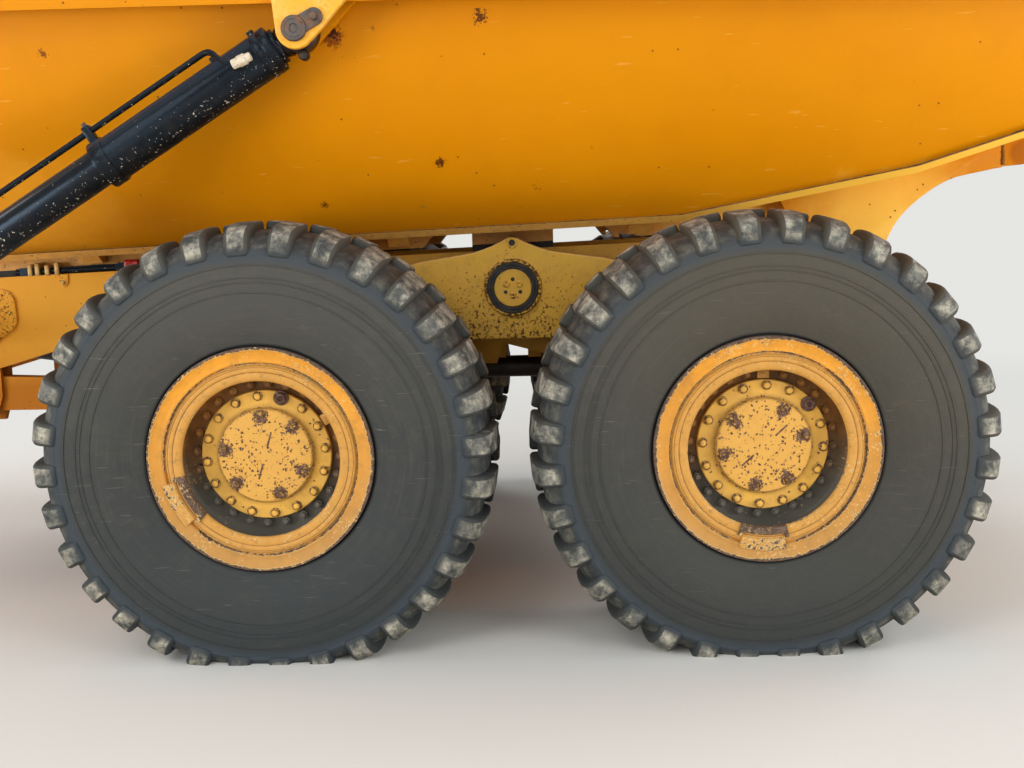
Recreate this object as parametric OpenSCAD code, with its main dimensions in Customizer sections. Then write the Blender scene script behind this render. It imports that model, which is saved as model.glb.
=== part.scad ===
// Rear unit of an articulated dump truck: frame, tandem bogie, tipping body and hoist.
// +X points rearward, +Y to the truck's right and +Z up.
// The origin is the centre of the hitch bore that the front unit's pin goes into.
// Heights of pieces are measured from the ground, and lengths from the middle of the tandem.

/* [Layout] */
// From the hitch bore back to the middle of the tandem
hitch_to_tandem = 3550; // [3500:10:3600]
// Height of the hitch bore above the ground
hitch_height = 1050; // [1040:5:1060]
// Free gap between the tyres of the two axles
tyre_gap = 106; // [96:2:130]
// Height of the wheel centres on the loaded tyres
axle_height = 706; // [700:1:712]
// Distance between the wheels' centre planes
track = 2280; // [2270:5:2310]
// Gap left between pieces that are fitted to each other
fit_gap = 0.3; // [0.2:0.05:0.5]

/* [Tyre] */
// Radius over the tread lugs
tyre_r = 797; // [785:1:800]
// Width of the tyre at its widest
tyre_width = 600; // [590:2:610]
// Height of the tread lugs
lug_height = 33; // [20:1:45]
// Thickness of the tread rubber under the lugs
tread_thick = 45; // [35:1:60]
// Number of lugs in each of the two rows
lug_count = 32; // [26:1:36]
// Width of the grooves between the lugs
groove_width = 52; // [40:1:64]
// Overlap of the grooves from both sides at the crown
groove_reach = 12; // [0:1:20]

/* [Rim] */
// Radius of the rim flanges that hold the tyre
rim_r = 383; // [380:1:390]
// Radius of the seat under the tyre beads
bead_r = 318; // [316:1:320]
// Width between the rim flanges
rim_width = 496; // [486:2:506]
// Thickness of each rim flange
rim_flange = 20; // [16:1:24]
// Radius of the opening in the rim's outer ring
rim_opening_r = 267; // [262:1:275]
// Thickness of the rim's band
rim_band = 20; // [14:1:24]
// Distance of the wheel disc from the centre plane
disc_offset = 95; // [85:1:100]
// Thickness of the wheel disc
disc_thick = 26; // [20:1:30]

/* [Hub] */
// Radius of the hub's planetary flange
hub_flange_r = 224; // [218:1:228]
// Distance of the hub's flange face from the wheel's centre plane
hub_face = 164; // [160:1:170]
// Radius of the hub's raised cover
hub_cover_r = 163; // [150:1:170]
// Height of the raised cover over the flange face
hub_cover_rise = 24; // [18:1:30]
// Radius of the hub's drum, which passes through the wheel disc
hub_drum_r = 205; // [198:1:208]
// Radius of the circle of wheel nuts
nut_circle_r = 246; // [244:1:250]
// Number of wheel nuts
nut_count = 24; // [18:2:30]

/* [Frame] */
// Half of the width over the two frame rails
frame_half = 500; // [490:5:510]
// Width of one frame rail
rail_width = 140; // [120:5:160]
// Thickness of the rails' plates
rail_plate = 12; // [8:1:16]
// Height of the rails' top at the middle of the tandem
rail_top = 1369; // [1364:1:1374]
// Rise of the rails' top for each metre towards the tail
rail_rise = 31; // [28:1:34]
// Height of the rails' underside at the middle of the tandem
rail_bottom = 1075; // [1060:5:1090]
// Height of the rails' underside at the nose
rail_nose_bottom = 760; // [740:5:800]
// Distance of the rails' front ends from the middle of the tandem
rail_front = 2930; // [2880:10:2960]
// Wall radius of the hitch bore
hitch_bore_r = 150; // [130:1:160]
// Outer radius of the hitch housing
hitch_outer_r = 212; // [200:1:225]
// Length of the hitch bore
hitch_bore_len = 400; // [360:10:420]
// Thickness of the nose plates and of the cross walls
nose_plate = 30; // [20:1:36]

/* [Walking beams] */
// Height of the walking beams' pivot
pivot_height = 1224; // [1215:1:1235]
// Radius of the tube that carries the pivots
pivot_r = 95; // [85:1:105]
// Width of one walking beam
beam_width = 140; // [120:5:150]
// Gap between a rail and its walking beam
beam_gap = 20; // [12:1:30]
// Height of the beams' underside at the pivot
beam_bottom = 1023; // [1015:1:1035]
// Height of the lifting eye on top of the beam
beam_eye_height = 1410; // [1400:1:1420]

/* [Axles] */
// Radius of the axle tubes
axle_tube_r = 92; // [85:1:100]
// Radius of the differential housing
diff_r = 235; // [220:5:250]
// Radius of the brake housings
brake_r = 215; // [200:5:230]
// Thickness of the rubber springs between beams and axles
spring_thick = 70; // [60:2:80]
// Radius of the drive shafts
shaft_r = 48; // [40:1:56]

/* [Body] */
// Gap between the rails' top and the body's underside at the middle of the tandem
body_gap = 73; // [70:1:80]
// Rise of the floor for each metre towards the tail
floor_rise = 35; // [33:1:37]
// Thickness of the floor plate
floor_thick = 24; // [16:1:28]
// Thickness of the side plates
side_thick = 16; // [10:1:20]
// Width of the floor's flange outside the side plates
flange_width = 35; // [25:1:45]
// Front end of the floor, ahead of the middle of the tandem
floor_front = 2450; // [2400:10:2480]
// Lean of the front wall from floor to top
front_lean = 300; // [250:10:340]
// Where the chute starts, behind the middle of the tandem
chute_start = 650; // [630:5:670]
// Where the chute steepens
chute_bend = 1490; // [1470:5:1510]
// Rear end of the chute
tail_end = 2300; // [2260:10:2340]
// Slope of the chute's first stretch in degrees
chute_slope = 10.5; // [10:0.1:11]
// Slope of the chute's second stretch in degrees
tail_slope = 17.7; // [17:0.1:18.4]
// Height of the lower side plates, from the floor to the knee
lower_side = 708; // [700:2:720]
// Height of the neck, from the knee to the shelf under the upper panels
neck_rise = 112; // [100:2:124]
// Height of the upper panels over the shelf
upper_side = 518; // [480:2:560]
// Half width of the floor where the sides meet it
belly_half = 650; // [640:5:660]
// Half width of the body at the knee under its upper panels
knee_half = 1115; // [1110:1:1118]
// Angle that the lower side plate turns through from floor to knee
belly_turn = 40; // [35:1:44]
// Half width over the upper panels
upper_half = 1255; // [1252:1:1262]
// Depth of the lip below the shelf
lip_depth = 50; // [40:1:52]
// Depth of the top rail
top_rail_depth = 110; // [90:5:130]
// Width of the top rail
top_rail_width = 105; // [90:5:120]

/* [Hoist] */
// Place of the hoist's upper pin ahead of the middle of the tandem
upper_pin_x = 688; // [682:1:694]
// Distance of the hoist's upper pin below the shelf
pin_drop = 138; // [134:1:142]
// Distance of the cylinders' middle inside the outer face of the upper panels
hoist_inset = 45; // [44:1:46]
// Angle of the cylinders above the horizontal in degrees
hoist_angle = 31.5; // [31:0.1:32]
// Length between the pins with the body down
hoist_closed = 1950; // [1930:5:1970]
// Outer radius of the barrel above its collar
barrel_r = 77.5; // [76:0.5:79]
// Outer radius of the barrel below its collar
barrel_low_r = 65; // [63:0.5:67]
// Outer radius of the middle stage
stage_r = 54; // [52:0.5:56]
// Radius of the rod
rod_r = 34; // [32:0.5:36]
// Radius of the rod's eye
eye_r = 70; // [66:1:72]
// Radius of the hoist's pins
pin_r = 34; // [30:1:38]
// Thickness of the ear plates that hold the pins
ear_thick = 30; // [24:1:32]
// Place of the body's hinge behind the middle of the tandem
hinge_x = 1320; // [1310:2:1330]
// Height of the body's hinge
hinge_z = 1220; // [1214:2:1226]
// Radius of the hinge pins
hinge_pin_r = 45; // [40:1:50]

/* [Hidden] */
$fn = 96;

yellow = [0.86, 0.55, 0.07];
tan_yellow = [0.72, 0.54, 0.22];
black = [0.07, 0.07, 0.08];
rubber = [0.16, 0.16, 0.17];
steel = [0.55, 0.55, 0.56];
lamp_red = [0.6, 0.06, 0.05];

axle_spacing = 2 * tyre_r + tyre_gap;
front_axle_x = -axle_spacing / 2;
rear_axle_x = axle_spacing / 2;
wheel_half = track / 2;
pinion_rise = 128;                 // pinions and drive shaft over the axles' centres
shaft_z = axle_height + pinion_rise;

// Heights of the body's section, one over the other
floor_height = rail_top + body_gap;
knee_height = floor_height + lower_side;
shelf_height = knee_height + neck_rise;
side_height = shelf_height + upper_side;
upper_pin_z = shelf_height - pin_drop;

// Straight lines that the frame and the floor follow, with x from the middle of the tandem
function rail_top_at(x) = rail_top + rail_rise * x / 1000;
function floor_at(x) = floor_height + floor_rise * x / 1000;
chute_z1 = floor_at(chute_start);
chute_z2 = chute_z1 + (chute_bend - chute_start) * tan(chute_slope);
chute_z3 = chute_z2 + (tail_end - chute_bend) * tan(tail_slope);
function chute_at(x) = chute_z2 + (x - chute_bend) * tan(tail_slope);

// Places everything that is measured from the ground under the middle of the tandem
module on_ground() translate([hitch_to_tandem, 0, -hitch_height]) children();

// A plate that stands along the truck: points are [x, z], between two distances from the middle
module slab(points, y0, y1)
    translate([0, y1, 0]) rotate([90, 0, 0]) linear_extrude(y1 - y0) polygon(points);

// A disc or tube end on a cross axis
module cross_rod(x, z, r, y0, y1)
    translate([x, y1, z]) rotate([90, 0, 0]) cylinder(r = r, h = y1 - y0);

// A shape drawn across the truck as [y, z] and drawn out from x0 to x1
module along(x0, x1)
    translate([x0, 0, 0]) rotate([90, 0, 90]) linear_extrude(x1 - x0) children();

module both_sides() {
    children();
    mirror([0, 1, 0]) children();
}

// Frame

nose_x = -rail_front;              // cross wall where the nose meets the rails
nose_top = rail_top_at(nose_x);
tail_x = hinge_x + 30;             // rear end of the rails, round the hinge
slope_start = -1680;               // where the rails' underside starts to fall to the nose
slope_end = -2730;
slope_z = rail_bottom - 17;
tail_beam_x = hinge_x - 20;

module hitch_housing() color(tan_yellow) {
    back = nose_x + hitch_to_tandem;
    top = nose_top - hitch_height;
    bottom = rail_nose_bottom - hitch_height;
    half = hitch_bore_len / 2;
    difference() {
        union() {
            translate([-half, 0, 0]) rotate([0, 90, 0]) cylinder(r = hitch_outer_r, h = hitch_bore_len);
            translate([-half, 0, 0]) rotate([0, 90, 0]) cylinder(r = hitch_outer_r + 70, h = 45);
            // top and bottom plates widen from the housing to the rails
            for (z = [top - nose_plate, bottom]) translate([0, 0, z]) linear_extrude(nose_plate)
                polygon([[-80, -hitch_outer_r], [back - nose_plate, -frame_half], [back, -frame_half],
                    [back, frame_half], [back - nose_plate, frame_half], [-80, hitch_outer_r]]);
            // side plates stand between them
            for (s = [-1, 1]) translate([0, 0, bottom]) linear_extrude(top - bottom)
                polygon([[-80, s * (hitch_outer_r - nose_plate)], [-80, s * hitch_outer_r],
                    [back, s * frame_half], [back, s * (frame_half - nose_plate)]]);
            // cross wall with the shaft's bearing
            translate([back - nose_plate, -frame_half, bottom])
                cube([nose_plate, 2 * frame_half, top - bottom]);
            // webs that tie the round housing to the top and bottom plates
            translate([0, -nose_plate / 2, bottom]) cube([half, nose_plate, top - bottom]);
        }
        translate([-half - 1, 0, 0]) rotate([0, 90, 0])
            cylinder(r = hitch_bore_r, h = hitch_bore_len + 2);
        translate([back - nose_plate - 1, 0, 0]) rotate([0, 90, 0])
            cylinder(r = shaft_r + 30 + fit_gap, h = nose_plate + 2);
    }
}

// Side view of a rail, drawn in by t on every edge
function rail_outline(t) = [
    [nose_x + t, rail_nose_bottom + t], [nose_x + t, nose_top - t],
    [tail_x - 170, rail_top_at(tail_x - 170) - t], [tail_x - t, hinge_z + 75],
    [tail_x - t, hinge_z - 85 + t], [rear_axle_x, rail_bottom + 10 + t],
    [-1150, rail_bottom - 15 + t], [slope_start, slope_z + t], [slope_end, rail_nose_bottom + t]];

// Drawbar arms hang from ears under the rails: [axle, pin x, pin z, arm depth at the pin]
arm_mid = frame_half - 70;         // middle of an arm across the truck
arm_half = 34;
arm_ears = [[-axle_spacing / 2, -2190, 823, 142], [axle_spacing / 2, -100, 1026, 66]];
arm_pin_r = 24;
rail_inner = frame_half - rail_width;

function rail_under_at(x) = x < slope_start
    ? slope_z + (x - slope_start) / (slope_start - slope_end) * (slope_z - rail_nose_bottom)
    : x < -1150 ? slope_z : rail_bottom - 15 + (x + 1150) / (rear_axle_x + 1150) * 25;

module rail_profile() color(tan_yellow) on_ground() {
    difference() {
        union() {
            difference() {
                slab(rail_outline(0), rail_inner, frame_half);
                slab(rail_outline(rail_plate), rail_inner + rail_plate, frame_half - rail_plate);
            }
            // hinge boss at the tail
            cross_rod(hinge_x, hinge_z, hinge_pin_r + 50, rail_inner, frame_half);
            // ears each side of the drawbar arms
            for (e = arm_ears, s = [-1, 1]) {
                near = arm_mid + s * (arm_half + 11);
                slab([[e[1] - 75, e[2] - 60], [e[1] - 75, rail_under_at(e[1] - 75) + 1],
                    [e[1] + 60, rail_under_at(e[1] + 60) + 1], [e[1] + 60, e[2] - 10],
                    [e[1] + 25, e[2] - 120], [e[1] - 25, e[2] - 120]], near - 10, near + 10);
            }
        }
        cross_rod(hinge_x, hinge_z, hinge_pin_r + 0.05, rail_inner - 1, frame_half + 1);
        cross_rod(0, pivot_height, pivot_r + fit_gap, rail_inner - 1, frame_half + 1);
    }
    for (e = arm_ears) cross_rod(e[1], e[2], arm_pin_r, arm_mid - arm_half - 2, arm_mid + arm_half + 2);
}

// Box members between the rails, and the beam and eye across the tail
box_places = [-2360, -1500];
box_width = 180;
box_height = 200;
pivot_walls = [[-150, 110], [52, 55]];         // walls under the pivot tube, [from, thickness]
pivot_wall_bottom = shaft_z + shaft_r + 33;
tail_beam_z = hinge_z - 235;
tow_pin_r = 16;
tow_eye_len = 60;
tow_eye_x = tail_beam_x + 119;
module crossmembers() color(tan_yellow) on_ground() {
    for (x = box_places) translate([x - box_width / 2, -rail_inner, rail_bottom + 20])
        difference() {
            cube([box_width, 2 * rail_inner, box_height]);
            translate([rail_plate, -1, rail_plate])
                cube([box_width - 2 * rail_plate, 2 * rail_inner + 2, box_height - 2 * rail_plate]);
        }
    for (w = pivot_walls) translate([w[0], -rail_inner, pivot_wall_bottom])
        cube([w[1], 2 * rail_inner, rail_bottom + 60 - pivot_wall_bottom]);
    // tail beam with the plate on it
    translate([tail_beam_x - 60, -frame_half, tail_beam_z]) cube([120, 2 * frame_half, 100]);
    translate([tail_beam_x - 60, -rail_inner, tail_beam_z + 99]) cube([20, 2 * rail_inner, 250]);
    // towing eye, for a pin from below
    translate([0, 0, tail_beam_z + 50 - tow_eye_len / 2]) linear_extrude(tow_eye_len) difference() {
        union() {
            translate([tail_beam_x + 59, -42]) square([60, 84]);
            translate([tow_eye_x, 0]) circle(r = 42);
        }
        translate([tow_eye_x, 0]) circle(r = tow_pin_r);
    }
}

// Cross tube through both rails, with the walking beams on its ends
beam_inner = frame_half + beam_gap;
beam_outer = beam_inner + beam_width;

module pivot_tube() color(tan_yellow) on_ground() {
    difference() {
        union() {
            cross_rod(0, pivot_height, pivot_r, -beam_outer, beam_outer);
            both_sides() cross_rod(0, pivot_height, pivot_r + 30, frame_half + 1, beam_inner - 1);
        }
        cross_rod(0, pivot_height, pivot_r - 25, -beam_outer - 1, beam_outer + 1);
    }
}

module tail_lamps() on_ground() both_sides() for (y = [290, 400]) {
    color(black) translate([tail_beam_x + 60, y - 45, tail_beam_z + 5]) cube([22, 90, 90]);
    color(lamp_red) translate([tail_beam_x + 82, y, tail_beam_z + 50]) rotate([0, 90, 0])
        cylinder(r1 = 38, r2 = 32, h = 14);
}

// Rubber pads on the rails that the body rests on
pad_thick = 25;
pad_glue = 0.05;                   // glue line under each pad
pad_inner = frame_half - 130;
pad_outer = frame_half - 50;
pads = [[-2100, 160], [-1300, 160], [0, 165], [820, 160]];    // [centre, half length]

module rest_pads() color(rubber) on_ground() both_sides() for (p = pads)
    slab([[p[0] - p[1], rail_top_at(p[0] - p[1]) + pad_glue],
        [p[0] + p[1], rail_top_at(p[0] + p[1]) + pad_glue],
        [p[0] + p[1], rail_top_at(p[0] + p[1]) + pad_thick],
        [p[0] - p[1], rail_top_at(p[0] - p[1]) + pad_thick]],
        pad_inner, pad_outer);

// Hoist

hoist_half = upper_half - hoist_inset;         // middle of the cylinders
lower_pin_x = -upper_pin_x - hoist_closed * cos(hoist_angle);
lower_pin_z = upper_pin_z - hoist_closed * sin(hoist_angle);
eye_half = rod_r - 1;              // half width of the rod's eye
ear_gap = 7;                       // room each side of the eye
ear_near = hoist_half - eye_half - ear_gap;
ear_far = upper_half;
base_half = 48;                    // half width of the barrel's base eye
base_eye_r = 76;
mount_height = 190;
mount_drop = 110;                  // underside of the mount's arm below the pin
mount_bottom = lower_pin_z - mount_drop;

module hoist_mounts() color(tan_yellow) on_ground() both_sides() {
    arm_end = hoist_half - base_half - 2;
    far_end = hoist_half + base_half + 2;
    x0 = lower_pin_x - base_eye_r - 24;
    // plate on the rail, with its rear corners cut, and the arm from it out to the clevis
    slab([[x0 - 60, lower_pin_z - 150], [x0 - 60, lower_pin_z + 153], [x0 + 354, lower_pin_z + 153],
        [x0 + 400, lower_pin_z + 120], [x0 + 420, lower_pin_z + 45], [x0 + 390, lower_pin_z - 5],
        [x0 + 2 * base_eye_r + 60, lower_pin_z - 150]], frame_half, frame_half + 12);
    translate([x0, frame_half, mount_bottom])
        cube([2 * base_eye_r + 10, arm_end - frame_half, mount_height]);
    translate([x0, arm_end - 1, mount_bottom])
        cube([20, far_end + ear_thick - arm_end + 1, mount_height]);
    // outer ear of the clevis
    translate([x0, far_end, mount_bottom])
        cube([lower_pin_x - x0, ear_thick, mount_height]);
    cross_rod(lower_pin_x, lower_pin_z, base_eye_r + 4, far_end, far_end + ear_thick);
    cross_rod(lower_pin_x, lower_pin_z, pin_r, arm_end - 1, far_end + 1);
}

// Local frame of a cylinder: +X runs from the lower pin to the upper pin
module along_cylinder(side)
    on_ground() translate([lower_pin_x, side * hoist_half, lower_pin_z])
        rotate([0, -hoist_angle, 0]) children();

module tube_x(x0, x1, r) translate([x0, 0, 0]) rotate([0, 90, 0]) cylinder(r = r, h = x1 - x0);

barrel_start = base_eye_r + 54;
barrel_end = hoist_closed - 92;
collar_start = 1140;
collar_end = 1190;
gland_len = 60;
pipe_r = 11;
pipe_rise = 118;                   // pipe's axis above the barrel's axis
pipe_begin = 260;
pipe_end = 1628;
port_place = 1715;

module barrel(side) color(black) along_cylinder(side) {
    bore = stage_r + 0.5;
    difference() {
        union() {
            rotate([90, 0, 0]) translate([0, 0, -base_half]) cylinder(r = base_eye_r, h = 2 * base_half);
            translate([0, -base_half, -50]) cube([barrel_start + 1, 2 * base_half, 100]);
            tube_x(barrel_start, collar_start + 1, barrel_low_r);
            tube_x(collar_start, collar_end, barrel_r + 7);
            tube_x(collar_end - 1, barrel_end, barrel_r);
            tube_x(barrel_end - gland_len, barrel_end, barrel_r + 3);
            // pipe to the gland end, with its bends and its clamp
            translate([0, 0, pipe_rise]) tube_x(pipe_begin, pipe_end, pipe_r);
            for (x = [pipe_begin, pipe_end]) translate([x, 0, 0]) {
                cylinder(r = pipe_r, h = pipe_rise);
                translate([0, 0, pipe_rise]) sphere(r = pipe_r);
            }
            translate([collar_start + 10, -16, 0]) cube([30, 32, pipe_rise + 24]);
            // port on the outer side
            translate([port_place, 0, 0]) rotate([-90 * side, 0, 0])
                cylinder(r = 17, h = barrel_r + 26);
        }
        tube_x(barrel_start + 20, barrel_end + 1, bore);
        rotate([90, 0, 0]) translate([0, 0, -base_half - 1])
            cylinder(r = pin_r + 0.05, h = 2 * base_half + 2);
    }
}

module stage(side) color(steel) along_cylinder(side) difference() {
    tube_x(barrel_start + 30, barrel_end + 16, stage_r);
    tube_x(barrel_start + 45, barrel_end + 17, rod_r + 0.5);
}

module rod(side) color(steel) along_cylinder(side) {
    tube_x(barrel_start + 55, hoist_closed, rod_r);
    translate([hoist_closed, 0, 0]) rotate([90, 0, 0]) translate([0, 0, -eye_half])
        cylinder(r = eye_r, h = 2 * eye_half);
}

// Black pipe that lies on the left rail, outside the pads, with its clips
pipe_start = -2030;
frame_pipe_len = 480;
frame_pipe_r = 14;
pipe_clips = [20, 70, 420];        // clips from the pipe's front end
module frame_pipe() color(black) on_ground() {
    y = -frame_half + 20;
    slope = atan(rail_rise / 1000);
    translate([pipe_start, y, rail_top_at(pipe_start) + frame_pipe_r + 2]) rotate([0, 90 - slope, 0])
        cylinder(r = frame_pipe_r, h = frame_pipe_len);
    for (c = pipe_clips) let (x = pipe_start + c)
        slab([[x, rail_top_at(x)], [x + 30, rail_top_at(x + 30)], [x + 30, rail_top_at(x + 30) + 33],
            [x, rail_top_at(x) + 33]], y - 17, y + 17);
}

// Walking beams and axles

axle_top = axle_height + axle_tube_r;
saddle_height = 40;
spring_bottom = axle_top + saddle_height;
beam_end_bottom = spring_bottom + spring_thick;

// Half of the beam's side view from the pivot outwards, then mirrored
beam_half_outline = [[22, beam_eye_height + 10], [62, 1390], [150, 1360], [360, 1330],
    [axle_spacing / 2 + 20, 1195], [axle_spacing / 2 + 130, 1110],
    [axle_spacing / 2 + 130, beam_end_bottom], [axle_spacing / 2 - 130, beam_end_bottom],
    [330, beam_bottom]];

module walking_beam() color(tan_yellow) on_ground() difference() {
    union() {
        slab(concat([for (p = beam_half_outline) p],
            [for (i = [len(beam_half_outline) - 1:-1:0])
                [-beam_half_outline[i][0], beam_half_outline[i][1]]]), beam_inner, beam_outer);
        cross_rod(0, beam_eye_height, 24, beam_inner, beam_outer);
        cross_rod(0, pivot_height, pivot_r + 13, beam_outer - 1, beam_outer + 18);
    }
    cross_rod(0, pivot_height, pivot_r + fit_gap, beam_inner - 1, beam_outer + 19);
    cross_rod(0, beam_eye_height, 13, beam_inner - 1, beam_outer + 1);
}

module pivot_caps() on_ground() both_sides() {
    color(black) difference() {
        cross_rod(0, pivot_height, pivot_r, beam_outer + fit_gap, beam_outer + 24);
        cross_rod(0, pivot_height, 73, beam_outer - 1, beam_outer + 25);
    }
    color(tan_yellow) difference() {
        union() {
            cross_rod(0, pivot_height, 73, beam_outer + fit_gap, beam_outer + 16);
            for (i = [0:2]) rotate_bolt(90 + 120 * i + 60, 28)
                cross_rod(0, 0, 12, beam_outer, beam_outer + 26);
        }
        for (i = [0:2]) rotate_bolt(90 + 120 * i, 32) cross_rod(0, 0, 7, beam_outer + 6, beam_outer + 40);
    }
}

// Places a bolt on a circle round the pivot
module rotate_bolt(angle, r)
    translate([r * cos(angle), 0, pivot_height + r * sin(angle)]) children();

module rubber_springs() color(rubber) on_ground() both_sides()
    for (x = [front_axle_x, rear_axle_x]) translate([x - 105, beam_inner + 5, spring_bottom])
        cube([210, beam_width - 10, spring_thick]);

brake_outer = wheel_half - 94;
brake_inner = wheel_half - 250;
spindle_r = 88;

// One axle: a differential in the middle, tubes, spring saddles, brakes and spindles
module axle(x, pinion) color(tan_yellow) on_ground() translate([x, 0, axle_height]) {
    difference() {
        union() {
            rotate([90, 0, 0]) cylinder(r = diff_r, h = 210, center = true);
            both_sides() {
                translate([0, 105, 0]) rotate([-90, 0, 0])
                    cylinder(r1 = diff_r - 20, r2 = axle_tube_r, h = 200);
                translate([0, 200, 0]) rotate([-90, 0, 0])
                    cylinder(r = axle_tube_r, h = brake_inner - 200);
                translate([0, brake_inner, 0]) rotate([-90, 0, 0])
                    cylinder(r = brake_r, h = brake_outer - brake_inner);
                translate([0, brake_outer, 0]) rotate([-90, 0, 0]) cylinder(r = spindle_r, h = 60);
                translate([-120, beam_inner, 0]) cube([240, beam_width, axle_tube_r + saddle_height]);
            }
            // pinion nose, ahead of or behind the differential
            for (s = pinion) translate([0, 0, pinion_rise]) rotate([0, 90 * s, 0]) {
                cylinder(r1 = 110, r2 = 90, h = diff_r + 60);
                cylinder(r = 72, h = diff_r + 85);
            }
        }
        both_sides() translate([-70, beam_inner - 1, -axle_tube_r - 60])
            cube([140, beam_width + 2, 60]);
    }
}

// Drawbar arms that tie the axles to the rails' ears, clamped round the axle tubes
clamp_r = axle_tube_r + 40;
module drawbars() color(tan_yellow) on_ground() both_sides() for (e = arm_ears) difference() {
    union() {
        slab([[e[1] + 30, e[2] - e[3] / 2], [e[1] + 30, e[2] + e[3] / 2],
            [e[0], axle_height + clamp_r], [e[0], axle_height + clamp_r - 95]],
            arm_mid - arm_half, arm_mid + arm_half);
        cross_rod(e[1], e[2], 45, arm_mid - arm_half, arm_mid + arm_half);
        slab([[e[1], e[2] - 33], [e[1], e[2] + 33], [e[1] + 40, e[2] + 33], [e[1] + 40, e[2] - 33]],
            arm_mid - arm_half, arm_mid + arm_half);
        cross_rod(e[0], axle_height, clamp_r, arm_mid - arm_half, arm_mid + arm_half);
    }
    cross_rod(e[0], axle_height, axle_tube_r + fit_gap, arm_mid - arm_half - 1, arm_mid + arm_half + 1);
    cross_rod(e[1], e[2], arm_pin_r + fit_gap, arm_mid - arm_half - 1, arm_mid + arm_half + 1);
}

// Rods across the truck that hold the axles sideways, each between a bracket under the left
// rail and a bracket on the right half of its axle, just over the differential
sway_rod_r = 26;
sway_z = axle_height + diff_r + sway_rod_r + 18;
sway_left = arm_mid;
sway_right = 345;
module sway_rods() color(tan_yellow) on_ground() for (x = [front_axle_x, rear_axle_x]) {
    slab([[x - 35, sway_z - 35], [x - 35, rail_under_at(x - 35) - seam],
        [x + 35, rail_under_at(x + 35) - seam], [x + 35, sway_z - 35]], -sway_left - 20, -sway_left + 20);
    cross_rod(x, sway_z, sway_rod_r, -sway_left, sway_right);
    difference() {
        slab([[x - 35, axle_height], [x - 35, sway_z + 35], [x + 35, sway_z + 35], [x + 35, axle_height]],
            sway_right - 20, sway_right + 20);
        cross_rod(x, axle_height, axle_tube_r + fit_gap, sway_right - 21, sway_right + 21);
    }
}

// Drive shaft between two faces given as [x, z], with a joint at each end
joint_reach = 75;                  // from a flange's face to the middle of its joint
module driveshaft(a, b, r) on_ground() {
    d = b - a - [2 * joint_reach, 0];
    length = norm(d);
    color(steel) for (s = [[a, 1], [b, -1]]) translate([s[0][0], 0, s[0][1]]) {
        tube_x(min(0, s[1] * joint_reach), max(0, s[1] * joint_reach), r + 8);
        tube_x(min(0, s[1] * 16), max(0, s[1] * 16), r + 22);
        translate([s[1] * joint_reach, 0, 0]) sphere(r = r + 14);
    }
    color(tan_yellow) translate([a[0] + joint_reach, 0, a[1]])
        rotate([0, -atan2(d[1], d[0]), 0]) tube_x(0, length, r);
}

shaft_bolt_pcd = 120;
module front_driveshaft() {
    front = nose_x - nose_plate - 60;
    back = nose_x + 60;
    color(steel) on_ground() translate([0, 0, hitch_height]) difference() {
        union() {
            tube_x(front, back, shaft_r + 30);
            tube_x(front - 18, front, shaft_bolt_pcd / 2 + 18);
        }
        for (i = [0:7]) rotate([45 * i, 0, 0]) translate([0, 0, shaft_bolt_pcd / 2])
            tube_x(front - 19, front + 60, 5.5);
    }
    driveshaft([back, hitch_height], [front_axle_x - diff_r - 85, shaft_z], shaft_r);
}

module tandem_driveshaft()
    driveshaft([front_axle_x + diff_r + 85, shaft_z], [rear_axle_x - diff_r - 85, shaft_z], shaft_r);

// Wheels

// Local frame of a wheel: +Z points out of the truck, and z = 0 is the centre plane
module at_wheel(x, side)
    on_ground() translate([x, side * wheel_half, axle_height]) rotate([-90 * side, 0, 0])
        children();

rim_half = rim_width / 2;
rim_out = rim_half + rim_flange;
bulge = tyre_width / 2;

// Outer half of the tyre's outline, from crown to bead, as [radius, distance from centre plane]
shoulder_r = tyre_r - 76;
function tyre_outer_half() = [
    [tyre_r, 60], [tyre_r - 8, bulge * 0.5], [tyre_r - 22, bulge * 0.72], [tyre_r - 46, bulge * 0.9],
    [shoulder_r, bulge * 0.972], [shoulder_r - 28, bulge * 0.975], [shoulder_r - 34, bulge * 0.955],
    [tyre_r - 180, bulge * 0.995], [tyre_r - 240, bulge], [rim_r + 90, bulge * 0.98],
    [rim_r + 40, bulge * 0.935], [rim_r + 8, rim_out - 10], [rim_r + 4, rim_half - 1],
    [bead_r + fit_gap, rim_half - 1], [bead_r + fit_gap, rim_half - 60]];
function tyre_inner_half() = [
    [bead_r + 30, rim_half - 66], [rim_r + 20, rim_half - 22], [rim_r + 90, bulge - 42],
    [tyre_r - 240, bulge - 34], [tyre_r - 150, bulge - 42],
    [tyre_r - lug_height - tread_thick - 12, bulge * 0.7],
    [tyre_r - lug_height - tread_thick, bulge * 0.35]];
function mirrored(points) = [for (i = [len(points) - 1:-1:0]) [points[i][0], -points[i][1]]];

// Grooves of the outer row of lugs, whose floor falls away towards the shoulder
module groove_row() {
    base = tyre_r - lug_height;
    for (i = [0:lug_count - 1]) rotate([0, 0, (i + 0.5) * 360 / lug_count]) rotate([90, 0, 0])
        translate([0, 0, -groove_width / 2]) linear_extrude(groove_width) polygon([
            [base, -groove_reach], [base - 6, bulge * 0.5], [base - 24, bulge * 0.8],
            [shoulder_r - 16, bulge * 0.94], [shoulder_r - 28, bulge * 1.1],
            [tyre_r + lug_height, bulge * 1.1], [tyre_r + lug_height, -groove_reach]]);
}

// The two rows of lugs are half a step apart
module tyre(x, side) color(rubber) at_wheel(x, side) difference() {
    rotate_extrude() polygon(concat(tyre_outer_half(), tyre_inner_half(),
        mirrored(tyre_inner_half()), mirrored(tyre_outer_half())));
    groove_row();
    rotate([0, 0, 180 / lug_count]) mirror([0, 0, 1]) groove_row();
}

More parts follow.
